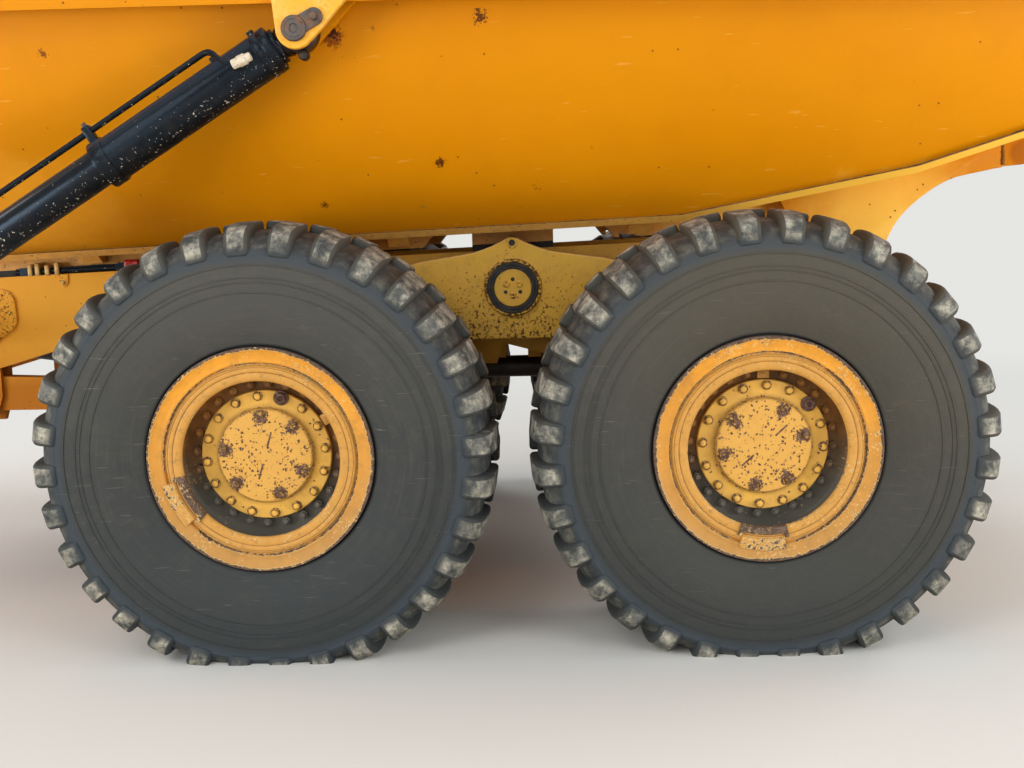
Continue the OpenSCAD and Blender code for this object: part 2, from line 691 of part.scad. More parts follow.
// The rim's outer ring carries the lock ring's driver key, which stands at key_angle
module rim(x, side, key_angle) color(yellow) at_wheel(x, side) {
    disc_in = disc_offset;
    disc_out = disc_offset + disc_thick;
    band_r = bead_r - rim_band;
    rotate_extrude() polygon([
        [bead_r, -rim_half], [rim_r, -rim_half - 6], [rim_r, -rim_out], [bead_r - 6, -rim_out],
        [band_r, -rim_half + 10], [band_r, disc_in], [hub_drum_r + fit_gap, disc_in],
        [hub_drum_r + fit_gap, disc_out], [band_r, disc_out], [band_r, disc_out + 40],
        [rim_opening_r + 14, rim_half - 40], [rim_opening_r, rim_half - 14],
        [rim_opening_r, rim_half + 4], [rim_opening_r + 10, rim_half + 12], [bead_r + 2, rim_half + 12],
        [bead_r + 8, rim_half + 4], [bead_r + 18, rim_half + 4], [rim_r - 14, rim_out - 4],
        [rim_r - 2, rim_out], [rim_r, rim_half + 6], [bead_r, rim_half]]);
    for (i = [0:nut_count - 1]) rotate([0, 0, i * 360 / nut_count])
        translate([nut_circle_r, 0, disc_out - 1]) cylinder(r = 15, h = 22, $fn = 6);
    // key in the opening and its pad on the ring: [angle, radius, depth, from, height]
    for (k = [[32, rim_opening_r - 15, 16, -14, 30], [24, rim_opening_r + 14, 44, 3, 15]])
        rotate([0, 0, key_angle - k[0] / 2]) translate([0, 0, rim_half + k[3]])
            rotate_extrude(angle = k[0]) translate([k[1], 0]) square([k[2], k[4]]);
}

// The hub is turned so that its plug, in the place of one flange bolt, stands at turn
cover_bolts = [28, 96, 144, 211, 263, 340];    // angles before the plug
module hub(x, side, turn) color(yellow) at_wheel(x, side) rotate([0, 0, turn]) {
    rotate_extrude() polygon([
        [spindle_r + 0.05, -88], [hub_drum_r - 40, -88], [hub_drum_r - 10, -40],
        [nut_circle_r + 30, -20], [nut_circle_r + 30, disc_offset],
        [hub_drum_r, disc_offset], [hub_drum_r, hub_face - 30],
        [hub_flange_r, hub_face - 30], [hub_flange_r, hub_face - 4],
        [hub_flange_r - 4, hub_face], [hub_cover_r + 2, hub_face],
        [hub_cover_r, hub_face + hub_cover_rise - 6],
        [hub_cover_r - 12, hub_face + hub_cover_rise],
        [0, hub_face + hub_cover_rise], [0, 0], [spindle_r + 6, 0], [spindle_r + 6, -62],
        [spindle_r + 0.05, -62]]);
    for (i = [0:15]) rotate([0, 0, i * 22.5]) translate([hub_flange_r - 17, 0, hub_face - 1])
        cylinder(r = i == 0 ? 17 : 10, h = i == 0 ? 12 : 14, $fn = i == 0 ? 8 : 6);
    for (a = cover_bolts) rotate([0, 0, -a])
        translate([hub_cover_r - 18, 0, hub_face + hub_cover_rise - 1]) cylinder(r = 9, h = 9, $fn = 6);
}

// Body

bend_chord = norm([knee_half - belly_half, knee_height - floor_height]);
bend_r = bend_chord / 2 / sin(belly_turn / 2);
bend_reach = bend_r * cos(belly_turn / 2) / bend_chord;
bend_y = (knee_half + belly_half) / 2 - (knee_height - floor_height) * bend_reach;
bend_z = (knee_height + floor_height) / 2 + (knee_half - belly_half) * bend_reach;
neck_half = knee_half + 15;
front_top = -floor_front - front_lean;
side_taper_x = 1200;               // where the sides' top starts to fall towards the tail
tail_height = side_height - 330;
lip_thick = 7;
side_reach = upper_half + 100;     // half width of the shapes that cut the section

// The body's section as [y, z], drawn in by t, which is negative to grow it
module section(t) {
    intersection() {
        translate([bend_y, bend_z]) circle(r = bend_r - t, $fn = 180);
        translate([-bend_y, bend_z]) circle(r = bend_r - t, $fn = 180);
        translate([-knee_half - 100, floor_height - 200])
            square([2 * knee_half + 200, knee_height - floor_height + 200]);
    }
    polygon([for (s = [1, -1]) each s > 0
        ? [[knee_half - t, knee_height - 1], [knee_half - t, knee_height],
            [neck_half - t, shelf_height + t], [upper_half - t, shelf_height + t],
            [upper_half - t, side_height]]
        : [[-upper_half + t, side_height], [-upper_half + t, shelf_height + t],
            [-neck_half + t, shelf_height + t], [-knee_half + t, knee_height],
            [-knee_half + t, knee_height - 1]]]);
}

// Side view of the body above the line that lies d over its underside
function belly_line(d) = [[-floor_front, floor_at(-floor_front) + d], [chute_start, chute_z1 + d],
    [chute_bend, chute_z2 + d], [tail_end, chute_z3 + d]];
function reversed(p) = [for (i = [len(p) - 1:-1:0]) p[i]];
function body_silhouette(d) = concat(belly_line(d), [[tail_end, tail_height],
    [side_taper_x, side_height], [front_top, side_height]]);

module body_floor() color(yellow) on_ground() intersection() {
    slab(concat(belly_line(0), reversed(belly_line(floor_thick))), -side_reach, side_reach);
    along(-floor_front, tail_end) section(-flange_width);
}

module body_side() color(yellow) on_ground() {
    intersection() {
        slab(body_silhouette(floor_thick), 0, side_reach);
        along(front_top, tail_end) difference() {
            section(0);
            section(side_thick);
        }
    }
    // lip under the shelf
    intersection() {
        slab(body_silhouette(floor_thick), 0, side_reach);
        translate([front_top, upper_half - lip_thick, shelf_height - lip_depth])
            cube([tail_end - front_top, lip_thick, lip_depth + 1]);
    }
    // top rail
    slab([[front_top, side_height], [side_taper_x, side_height], [tail_end, tail_height],
        [tail_end, tail_height - top_rail_depth], [side_taper_x - 20, side_height - top_rail_depth],
        [front_top, side_height - top_rail_depth]], upper_half, upper_half + top_rail_width);
}

module body_front_wall() color(yellow) on_ground() intersection() {
    slab([[-floor_front, floor_at(-floor_front) + floor_thick], [front_top, side_height],
        [front_top + side_thick, side_height],
        [side_thick - floor_front, floor_at(side_thick - floor_front) + floor_thick]],
        -side_reach, side_reach);
    along(front_top, -floor_front + 20) section(side_thick);
}

// Ribs across the outside of the front wall, [height, half length]
wall_ribs = [[0.18, 620], [0.45, 900], [0.75, 1080]];
wall_rise = side_height - floor_at(-floor_front) - floor_thick;
module front_ribs() color(yellow) on_ground() for (r = wall_ribs) {
    z = floor_at(-floor_front) + floor_thick + r[0] * wall_rise;
    lean = front_lean / wall_rise;
    x = -floor_front - r[0] * front_lean;
    slab([[x + 35 * lean, z - 35], [x - 35 * lean, z + 35], [x - 35 * lean - 60, z + 25],
        [x + 35 * lean - 60, z - 25]], -r[1], r[1]);
}

module spill_guard() color(yellow) on_ground() {
    reach = 320;
    slab([[front_top, side_height], [front_top - reach, side_height + 190],
        [front_top - reach, side_height + 190 + side_thick],
        [front_top + side_thick, side_height + side_thick],
        [front_top + side_thick, side_height]], -upper_half, upper_half);
}

// Underside of the floor at x, over the flat floor and the chute's first stretch
function belly_at(x) = x < chute_start ? floor_at(x) : chute_z1 + (x - chute_start) * tan(chute_slope);

// Cross ribs under the floor, and seats that stand over the rails' rubber pads
rib_places = [-2350, -1700, -1000, -450, 500];
rib_half = belly_half + 50;
rib_clear = 36;                    // ribs' height over the rails
seam = 0.1;                        // gap at a weld between flat faces
seat_clear = pad_thick + fit_gap;
bearer_start = 377;                // the rear bearers start behind the open gap
bearer_end = hinge_x - 140;
module seat(x0, x1, bevel) slab(concat(
    [[x0 + bevel[0], rail_top_at(x0 + bevel[0]) + seat_clear],
        [x1 - bevel[1], rail_top_at(x1 - bevel[1]) + seat_clear]],
    [[x1, belly_at(x1) - seam], if (x1 > chute_start) [chute_start, chute_z1 - seam],
        [x0, belly_at(x0) - seam]]),
    pad_inner, pad_outer);

module body_bearers() color(yellow) on_ground() difference() {
    union() {
        intersection() {
            for (x = rib_places)
                slab([[x - 40, rail_top_at(x - 40) + rib_clear], [x + 40, rail_top_at(x + 40) + rib_clear],
                    [x + 40, floor_at(x + 40) - seam], [x - 40, floor_at(x - 40) - seam]],
                    -rib_half, rib_half);
            along(front_top, tail_end) section(0);
        }
        both_sides() {
            seat(-2390, -325, [0, 40]);
            seat(-165, 165, [0, 0]);
            seat(bearer_start, bearer_end, [40, 0]);
        }
    }
    // slots in the rear bearers
    translate([432, -frame_half, floor_height - 34]) cube([70, 2 * frame_half, 20]);
}

// Curved plates that hang from the chute down to the hinge pins
hinge_plate_near = frame_half + 15;
hinge_plate_start = hinge_x - 140;
hinge_plate_end = 1930;
// Plate's lower edge from its end to the hinge, where the round cut starts, and that cut
hinge_plate_edge = [[1935, 1648], [1865, 1636], [1729, 1608], [1560, 1522], [1460, 1321]];
hinge_cut = [1685, 1321, 237];
tail_rib_edge = [[tail_end - 60, 1700], [2024, 1655], [hinge_plate_end - 1, 1648]];
module hinge_plates() color(yellow) on_ground() both_sides() {
    near = hinge_plate_near;
    difference() {
        union() {
            slab(concat([[hinge_plate_start, belly_at(hinge_plate_start) - seam],
                [chute_bend, chute_z2 - seam], [hinge_plate_end, chute_at(hinge_plate_end) - seam]],
                hinge_plate_edge, [[hinge_x + 110, hinge_z], [hinge_x - 90, hinge_z - 60]]),
                near, near + ear_thick);
            cross_rod(hinge_x, hinge_z, hinge_pin_r + 60, near, near + ear_thick);
        }
        cross_rod(hinge_cut[0], hinge_cut[1], hinge_cut[2], near - 1, near + ear_thick + 1);
    }
    // recessed rib on to the tail, and the hinge pin
    slab(concat([[hinge_plate_end - 1, chute_at(hinge_plate_end - 1) - seam],
        [tail_end - 60, chute_at(tail_end - 60) - seam]], tail_rib_edge), near - 60, near + 1);
    cross_rod(hinge_x, hinge_z, hinge_pin_r, rail_inner, near + 1);
}

ear_top = side_height - top_rail_depth - 168;
ear_r = 64;                        // radius of the ears round the pins
ear_lean = 0.09;                   // ears widen forward by this much for each unit of height
keeper = [68, 36, 27];             // bolt of the pin's keeper from the pin, and its end radius
module hoist_ears() color(yellow) on_ground() both_sides() {
    px = -upper_pin_x;
    pz = upper_pin_z;
    face = ear_far + ear_thick;
    // inner ear hangs from the shelf, the outer one from the upper panel
    slab([[px - ear_r, pz], [px - ear_r - pin_drop * ear_lean, shelf_height],
        [px + 220, shelf_height], [px + 46, pz - 45]], ear_near - ear_thick, ear_near);
    slab([[px - ear_r, pz], [px - ear_r - (ear_top - pz) * ear_lean, ear_top],
        [px + 450, ear_top], [px + 170, pz + 86], [px + 88, pz - 4], [px + 46, pz - 45]],
        ear_far, face);
    for (y = [ear_near - ear_thick, ear_far]) cross_rod(px, pz, ear_r, y, y + ear_thick);
    // pin's head with its hole, and the keeper bolted beside it
    difference() {
        union() {
            cross_rod(px, pz, pin_r + 7, face - 1, face + 18);
            slab([[px - 10, pz + 24], [px + keeper[0] - 12, pz + keeper[1] + keeper[2] - 3],
                [px + keeper[0] + 12, pz + keeper[1] - keeper[2] + 3], [px + 10, pz - 24]],
                face - 1, face + 10);
            cross_rod(px + keeper[0], pz + keeper[1], keeper[2], face - 1, face + 10);
            cross_rod(px + keeper[0], pz + keeper[1], 14, face - 1, face + 22);
        }
        cross_rod(px, pz, 14, face + 8, face + 19);
    }
}

hitch_housing();
mirror([0, 1, 0]) rail_profile();  // rail_left
rail_profile();  // rail_right
crossmembers();
pivot_tube();
tail_lamps();
rest_pads();
hoist_mounts();
frame_pipe();
mirror([0, 1, 0]) walking_beam();  // walking_beam_left
walking_beam();  // walking_beam_right
pivot_caps();
rubber_springs();
axle(front_axle_x, [-1, 1]);  // front_axle
axle(rear_axle_x, [-1]);  // rear_axle
drawbars();
sway_rods();
front_driveshaft();
tandem_driveshaft();
tyre(front_axle_x, -1);  // tyre_front_left
rim(front_axle_x, -1, 208);  // rim_front_left
hub(front_axle_x, -1, 78);  // hub_front_left
tyre(front_axle_x, 1);  // tyre_front_right
rim(front_axle_x, 1, 208);  // rim_front_right
hub(front_axle_x, 1, 78);  // hub_front_right
tyre(rear_axle_x, -1);  // tyre_rear_left
rim(rear_axle_x, -1, 267);  // rim_rear_left
hub(rear_axle_x, -1, 42);  // hub_rear_left
tyre(rear_axle_x, 1);  // tyre_rear_right
rim(rear_axle_x, 1, 267);  // rim_rear_right
hub(rear_axle_x, 1, 42);  // hub_rear_right
body_floor();
mirror([0, 1, 0]) body_side();  // body_side_left
body_side();  // body_side_right
body_front_wall();
front_ribs();  // body_front_wall
spill_guard();
body_bearers();
hinge_plates();
hoist_ears();
barrel(-1);  // barrel_left
stage(-1);  // stage_left
rod(-1);  // rod_left
barrel(1);  // barrel_right
stage(1);  // stage_right
rod(1);  // rod_right
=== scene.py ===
import random
from math import atan2, cos, hypot, pi, radians, sin, sqrt

import bpy
from mathutils import Matrix, Vector


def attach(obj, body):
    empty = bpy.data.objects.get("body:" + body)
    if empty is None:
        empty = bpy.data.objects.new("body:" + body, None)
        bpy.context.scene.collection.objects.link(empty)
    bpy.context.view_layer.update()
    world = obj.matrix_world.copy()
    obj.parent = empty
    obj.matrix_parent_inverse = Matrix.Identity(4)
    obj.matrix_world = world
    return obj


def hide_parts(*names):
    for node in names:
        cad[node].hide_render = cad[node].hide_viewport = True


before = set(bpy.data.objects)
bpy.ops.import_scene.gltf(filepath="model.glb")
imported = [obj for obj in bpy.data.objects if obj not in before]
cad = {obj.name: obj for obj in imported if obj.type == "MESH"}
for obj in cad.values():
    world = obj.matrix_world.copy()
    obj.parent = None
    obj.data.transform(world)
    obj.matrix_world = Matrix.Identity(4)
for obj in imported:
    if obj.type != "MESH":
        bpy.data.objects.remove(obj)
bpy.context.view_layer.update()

# Camera and studio.
# The camera stands at the truck's left, about as high as the body's floor, and looks a little down
# at the tandem. Soft lamps on every side and a pale floor light the paint about as it is mixed.
tandem = Vector((3.55, 0, -1.05))           # ground point under the middle of the tandem
focal_pixels, photo_width, sensor = 1160, 1024, 36
yaw, pitch, roll = radians(-1.106), radians(7.936), radians(-1.399)
ahead = Vector((sin(yaw) * cos(pitch), cos(yaw) * cos(pitch), -sin(pitch)))
level = Vector((cos(yaw), -sin(yaw), 0))
over_head = level.cross(ahead)
right = level * cos(roll) + over_head * sin(roll)
upward = over_head * cos(roll) - level * sin(roll)


def add(name, data):
    """Adds an object to the scene."""
    made = bpy.data.objects.new(name, data)
    bpy.context.scene.collection.objects.link(made)
    return made


lens = bpy.data.cameras.new("camera")
lens.sensor_width = sensor
lens.lens = sensor * focal_pixels / photo_width
camera = add("camera", lens)
camera.matrix_world = Matrix.Translation(tandem + Vector((0.075, -5.208, 1.477))) @ Matrix(
    (right, upward, -ahead)).transposed().to_4x4()
bpy.context.scene.camera = camera
bpy.context.scene.view_settings.view_transform = "Standard"


def linear(code):
    """Linear colour of an sRGB hex code."""
    parts = [int(code[i:i + 2], 16) / 255 for i in (1, 3, 5)]
    return [c / 12.92 if c <= 0.04045 else ((c + 0.055) / 1.055) ** 2.4 for c in parts] + [1]


def wire(node, inputs):
    """Sets a node's inputs to values or hex colours, or links them to a socket or a node's output."""
    for socket, value in inputs.items():
        if isinstance(value, bpy.types.Node):
            value = next(out for out in value.outputs if out.enabled)
        if isinstance(value, bpy.types.NodeSocket):
            tree.links.new(value, node.inputs[socket])
        else:
            node.inputs[socket].default_value = linear(value) if isinstance(value, str) else value


def put(kind, inputs={}, **settings):
    """Adds a node with its settings and links to the tree in hand."""
    node = tree.nodes.new("ShaderNode" + kind)
    for key, value in settings.items():
        setattr(node, key, value)
    wire(node, inputs)
    return node


def begin(name):
    """Starts a material and takes its tree in hand: material, shader and object coordinates."""
    global tree
    made = bpy.data.materials.new(name)
    made.use_nodes = True
    tree = made.node_tree
    return made, tree.nodes["Principled BSDF"], put("TexCoord").outputs["Object"]


def seen_directly():
    """1 for camera, glossy and transmission rays: they see the pale backdrop."""
    rays = put("LightPath").outputs
    mirrored = put("Math", {0: rays["Is Glossy Ray"], 1: rays["Is Transmission Ray"]}, operation="MAXIMUM")
    return put("Math", {0: rays["Is Camera Ray"], 1: mirrored}, operation="MAXIMUM")


pale, pale_glow = "#EBEBE8", 0.95
sky = bpy.data.worlds.new("sky")
bpy.context.scene.world = sky
sky.use_nodes = True
tree = sky.node_tree
daylight = tree.nodes["Background"]
wire(daylight, {"Color": "#E4EAF0", "Strength": 0.42})
backdrop = put("Background", {"Color": pale, "Strength": pale_glow})
wire(tree.nodes["World Output"], {"Surface": put("MixShader", {0: seen_directly(), 1: daylight,
    2: backdrop})})

aim = Vector((3.5, 0, 0))
for name, place, size, watts in (
        ("key", (-1, -8, 6), 5, 200), ("left_fill", (8.5, -6.5, 3), 4, 90),
        ("front_fill", (2, -11, 1.5), 6, 140), ("low_nose", (-2.5, -5.5, -0.2), 3, 270),
        ("low_tail", (9.5, -5, -0.3), 3, 270), ("right_key", (0, 8.5, 6), 5, 250),
        ("tail_fill", (11.5, 2.5, 4.5), 4, 180), ("nose_fill", (-5.5, 0.5, 4.5), 4, 180),
        ("overhead", (3.5, 0, 9), 6, 150)):
    lamp = bpy.data.lights.new(name, "AREA")
    lamp.size = size
    lamp.energy = watts
    stand = add(name, lamp)
    stand.location = place
    stand.rotation_euler = (aim - stand.location).to_track_quat("-Z", "Y").to_euler()

bpy.ops.mesh.primitive_plane_add(size=120, location=(tandem.x, 0, tandem.z))
floor = bpy.context.object
floor.name = "floor"
floor_paint, matt, ground = begin("pale_floor")
watched = seen_directly()
wire(matt, {"Roughness": 0.9, "Specular IOR Level": 0.1, "Base Color": put("Mix",
    {0: watched, 6: "#C4B69A", 7: "#F0EEE8"}, data_type="RGBA")})
away = put("VectorMath", {0: ground}, operation="LENGTH").outputs["Value"]
far_off = put("MapRange", {0: away, 1: 3.5, 2: 9}, interpolation_type="SMOOTHSTEP")
faded = put("Math", {0: far_off, 1: watched}, operation="MULTIPLY")
glow = put("Emission", {"Color": pale, "Strength": pale_glow})
wire(tree.nodes["Material Output"], {"Surface": put("MixShader", {0: faded, 1: matt, 2: glow})})
floor.data.materials.append(floor_paint)


# Tyres.
# Radial earthmover tyres of vulcanised black rubber, moulded with two rows of thick lugs half a
# step apart and shallow rings on the walls. Dry sand sticks to the lugs' faces and scuffs the walls.
def over(colour, *coats):
    """Lays coats over a colour: (coat, mask, and where the mask starts, is full, and its strength)."""
    for top, mask, *reach in coats:
        low, high, strength = reach or (0, 1, 1)
        share = put("MapRange", {0: mask, 1: low, 2: high, 4: strength})
        colour = put("Mix", {0: share, 6: colour, 7: top}, data_type="RGBA")
    return colour


def weather(colour, where, coats):
    """Lays coats in blotches over a colour: (size in metres, start, full, strength, hex)."""
    for size, low, high, strength, top in coats:
        grain = put("TexNoise", {"Vector": where, "Scale": 1 / size, "Detail": 6, "Roughness": 0.62})
        colour = over(colour, (top, grain, low, high, strength))
    return colour


def rough(where, scale, depth, detail=2, under=None):
    """Relief of a grain: grains per metre, depth in metres, and the relief that it lies on."""
    grain = put("TexNoise", {"Vector": where, "Scale": scale, "Detail": detail})
    return put("Bump", {"Height": grain, "Distance": depth, **({"Normal": under} if under else {})})


# matt black with a grey bloom: rings along the wall, scuffs across it, sand on the lugs; dust and painted
# light lighten the top, painted shade darkens the bottom, with a painted sheen on the shoulder and a painted
# shadow at the bead
tyre_rubber, shader, where = begin("vulcanised_rubber")
spun = put("Attribute", attribute_name="spun").outputs["Vector"]      # (cosine, sine, radius)
radius = put("SeparateXYZ", {0: spun}).outputs[2]
worn = put("Attribute", attribute_name="worn").outputs["Fac"]
rings = put("TexNoise", {"Vector": put("Mapping", {"Vector": spun, "Scale": (2.2, 2.2, 95)}), "Scale": 1,
    "Detail": 6, "Roughness": 0.7})
scuffs = put("TexNoise", {"Vector": put("Mapping", {"Vector": spun, "Scale": (48, 48, 4)}), "Scale": 1,
    "Detail": 6, "Roughness": 0.75, "Distortion": 1.2})
slanted = put("Mapping", {"Vector": where, "Rotation": (0, 0.7, 0), "Scale": (9, 9, 170)})
scratch = put("TexNoise", {"Vector": slanted, "Scale": 1, "Detail": 2, "Distortion": 0.4})
along_x, _, height = put("SeparateXYZ", {0: where}).outputs
shoulder = put("Math", {0: put("MapRange", {0: radius, 1: 0.652, 2: 0.676}),
    1: put("MapRange", {0: radius, 1: 0.715, 2: 0.7})}, operation="MULTIPLY")
colour = weather("#343737", where, ((0.45, 0.35, 0.75, 0.8, "#40403B"), (0.12, 0.45, 0.8, 0.6, "#2E3133"),
    (0.05, 0.5, 0.75, 0.5, "#4E4A41")))
sand = weather("#74746C", where, ((0.05, 0.42, 0.62, 1, "#BDB8A7"), (0.012, 0.5, 0.7, 0.8, "#4C5052")))
patchy = put("TexNoise", {"Vector": where, "Scale": 14, "Detail": 8, "Roughness": 0.75})
dusty = put("Math", {0: put("MapRange", {0: worn, 1: 0.15, 2: 0.95}),
    1: put("MapRange", {0: patchy, 1: 0.38, 2: 0.58})}, operation="MULTIPLY")
grooves = weather("#2B3135", where, ((0.05, 0.45, 0.68, 0.8, "#5B5A52"),))
# dust and painted light make the walls lighter towards the top; painted shade makes them darker and bluer
# towards the bottom
colour = over(colour, ("#5C5D57", rings, 0.5, 0.72, 0.28), ("#605F57", scuffs, 0.58, 0.76, 0.55),
    ("#7C7A70", scratch, 0.69, 0.725, 0.65), ("#4F4D46", height, -0.35, 0.25, 0.6),
    ("#524938", along_x, 3.6, 4.2, 0.4), ("#293032", height, -0.15, -1, 0.75),
    # painted sheen: a bluish band round the shoulder; painted shadow: near black where the tyre meets the rim
    ("#343F49", shoulder, 0, 1, 0.65), ("#17191B", radius, 0.397, 0.391, 0.85),
    (grooves, worn, 0, 0.25, 0.85), (sand, dusty))
relief = put("Bump", {"Height": rings, "Distance": 0.0009, "Normal": rough(where, 240, 0.0012, 3)})
wire(shader, {"Base Color": colour, "Roughness": 0.74, "Specular IOR Level": 0.42,
    "Normal": rough(where, 26, 0.0035, 5, relief)})


def plain(name, base, coats, grains, depth, inputs, detail=2):
    """A simple material: coats over a base colour, and a grain in its surface."""
    made, shader, where = begin(name)
    wire(shader, {"Base Color": weather(base, where, coats), "Normal": rough(where, grains, depth, detail),
        **inputs})
    return made


def pick(*pieces):
    """Selects these pieces alone and makes the first of them active."""
    bpy.ops.object.select_all(action="DESELECT")
    for piece in pieces:
        piece.select_set(True)
    bpy.context.view_layer.objects.active = pieces[0]


def edit():
    """Opens the active piece for editing with all of it selected."""
    bpy.ops.object.mode_set(mode="EDIT")
    bpy.ops.mesh.select_all(action="SELECT")


def finish():
    """Welds and closes the active piece, turns its faces outward and applies its place."""
    edit()
    bpy.ops.mesh.remove_doubles(threshold=0.00002)
    bpy.ops.mesh.fill_holes(sides=0)
    bpy.ops.mesh.normals_make_consistent(inside=False)
    bpy.ops.object.mode_set(mode="OBJECT")
    bpy.ops.object.transform_apply()
    return bpy.context.object


def lathe(outline, steps):
    """Turns an outline of (radius, height) in millimetres round Z. Open ends are closed with a disc."""
    outline = [(r / 1000, z / 1000) for r, z in outline]
    bpy.ops.mesh.primitive_circle_add(vertices=steps, radius=outline[0][0], location=(0, 0, outline[0][1]))
    edit()
    for (r0, z0), (r1, z1) in zip(outline, outline[1:]):
        bpy.ops.mesh.extrude_region_move(TRANSFORM_OT_translate={"value": (0, 0, z1 - z0)})
        bpy.ops.transform.resize(value=(r1 / r0, r1 / r0, 1), center_override=(0, 0, z1))
    return finish()


def bar(stations):
    """Draws a bar of rectangular section along X through (x, (y0, y1), (z0, z1))."""
    middle = [(x, (y[0] + y[1]) / 2, (z[0] + z[1]) / 2) for x, y, z in stations]
    wide = [(y[1] - y[0], z[1] - z[0]) for x, y, z in stations]
    bpy.ops.mesh.primitive_plane_add(size=1, rotation=(0, pi / 2, 0), location=middle[0])
    edit()
    bpy.ops.transform.resize(value=(1, *wide[0]), center_override=middle[0])
    for i in range(1, len(stations)):
        step = [b - a for a, b in zip(middle[i - 1], middle[i])]
        bpy.ops.mesh.extrude_region_move(TRANSFORM_OT_translate={"value": step})
        bpy.ops.transform.resize(value=(1, wide[i][0] / wide[i - 1][0], wide[i][1] / wide[i - 1][1]),
            center_override=middle[i])
    return finish()


def soften(piece, width=0, segments=2, angle=30):
    """Rounds a piece's sharp edges and shades it smooth between them."""
    pick(piece)
    if width:
        edge = piece.modifiers.new("edge", "BEVEL")
        edge.width = width
        edge.segments = segments
        edge.limit_method = "ANGLE"
        edge.angle_limit = radians(angle)
        bpy.ops.object.modifier_apply(modifier="edge")
    bpy.ops.object.shade_smooth_by_angle(angle=radians(angle + 5))
    return piece


def coat(piece, material):
    """Gives a piece its finish."""
    piece.data.materials.clear()
    piece.data.materials.append(material)
    return piece


def join(pieces):
    """Joins pieces into the first."""
    pick(*pieces)
    if len(pieces) > 1:
        bpy.ops.object.join()
    return pieces[0]


def copy(piece, matrix=Matrix.Identity(4)):
    """A copy with its own mesh, moved by a matrix."""
    made = add(piece.name, piece.data.copy())
    made.data.transform(matrix)
    if matrix.determinant() < 0:
        made.data.flip_normals()
    return made


def around(piece, angles, radius=0):
    """Copies of a piece set at a radius and turned round Z by each angle, joined; the piece goes."""
    out = Matrix.Translation((radius, 0, 0))
    made = join([copy(piece, Matrix.Rotation(a, 4, "Z") @ out) for a in angles])
    bpy.data.objects.remove(piece)
    return made


def mark(piece, name, value):
    """Writes an attribute on a piece's points: one number or vector, or one for each point's place."""
    given = [value(vertex.co) if callable(value) else value for vertex in piece.data.vertices]
    field, kind = ("vector", "FLOAT_VECTOR") if isinstance(given[0], tuple) else ("value", "FLOAT")
    layer = piece.data.attributes.get(name) or piece.data.attributes.new(name, kind, "POINT")
    for point, number in zip(layer.data, given):
        setattr(point, field, number)


def hand_over(piece, name, body, slot, *nodes):
    """Names a finished piece, and says what carries it and the nodes it stands for; slot is not used."""
    piece.name = piece.data.name = name
    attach(piece, body)
    if nodes:
        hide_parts(*nodes)


lug_count = 32
lug_step = 2 * pi / lug_count
wall = [(769, 0), (768, 90), (763, 155), (752, 210), (735, 252), (714, 274), (697, 284), (690, 287),
    (686.5, 285.8), (672, 288.5), (657, 290.5), (655.6, 293.8), (652.6, 294), (651, 290.8), (634, 293.5),
    (615.2, 295), (614, 298), (611.3, 298.2), (610, 295.5), (600.2, 296), (599, 298.8), (596.4, 298.9),
    (595, 296.2), (567.2, 297), (565.8, 299.6), (563.2, 299.6), (561.8, 296.8), (535, 296.5), (505, 294),
    (475, 288.5), (447, 280.5), (422, 270.5), (404.5, 262.5), (396.5, 259), (389.5, 256), (387, 250),
    (386.5, 242), (319, 242)]
liner = [(319, 190), (420, 232), (520, 262), (640, 252), (705, 160), (716, 50)]
outline = [(r, -z) for r, z in wall[:0:-1]] + wall + liner + [(r, -z) for r, z in liner[::-1]]
carcass = lathe(outline + outline[:1], 160)
mark(carcass, "worn", lambda co: 0.28 if hypot(co.x, co.y) > 0.712 else 0)

# one lug from the crown to the shoulder, as (distance from middle, half width, floor, top)
lug_sides = [(0.004, 0.036, 0.745, 0.7968), (0.05, 0.043, 0.745, 0.7972), (0.11, 0.0445, 0.738, 0.7955),
    (0.165, 0.044, 0.728, 0.7915), (0.21, 0.043, 0.712, 0.785), (0.248, 0.0415, 0.696, 0.775),
    (0.276, 0.04, 0.684, 0.76), (0.2945, 0.0375, 0.68, 0.73)]
lug = soften(bar([(z, (-half, half), (low, high)) for z, half, low, high in lug_sides]), 0.013, 4)
lug.data.transform(Matrix(((0, 0, 1, 0), (0, 1, 0, 0), (1, 0, 0, 0), (0, 0, 0, 1))))
lug.data.flip_normals()
faces = {index for face in lug.data.polygons for index in face.vertices
    if face.area > 0.00025 and abs(face.normal.y) < 0.5 and face.normal.x + face.normal.z > 0.4}
mark(lug, "worn", 0.12)
for vertex in lug.data.vertices:
    if vertex.co.x > 0.705:
        lug.data.attributes["worn"].data[vertex.index].value = float(vertex.index in faces)
row = around(lug, [i * lug_step for i in range(lug_count)])
far_row = copy(row, Matrix.Rotation(lug_step / 2, 4, "Z") @ Matrix.Rotation(pi, 4, "X"))
tyre = soften(join([carcass, row, far_row]))
mark(tyre, "spun", lambda co: (co.x / hypot(co.x, co.y), co.y / hypot(co.x, co.y), hypot(co.x, co.y)))
coat(tyre, tyre_rubber)
# each wheel's place ahead of or behind the tandem's middle, side, and turn of key and plug
wheels = {"front_left": (-0.85, -1, 207, 73), "front_right": (-0.85, 1, 207, 73),
          "rear_left": (0.85, -1, 267, 42), "rear_right": (0.85, 1, 267, 42)}
half_track, axle_height = 1.14, 0.706


def mount(piece, wheel, node, slot, turn):
    """Puts a copy of a wheel's piece, turned round the axle, where it stands for its node."""
    x, side, _, _ = wheels[wheel]
    made = copy(piece, Matrix.Translation(tandem + Vector((x, half_track * side, axle_height)))
        @ Matrix.Rotation(-pi / 2 * side, 4, "X") @ Matrix.Rotation(turn, 4, "Z"))
    hand_over(made, node + "_" + wheel + "_seen", "wheel_" + wheel, slot, node + "_" + wheel)


for number, wheel in enumerate(wheels):
    mount(tyre, wheel, "tyre", "tyre_rubber", 0.05 + 1.3 * number)
bpy.data.objects.remove(tyre)


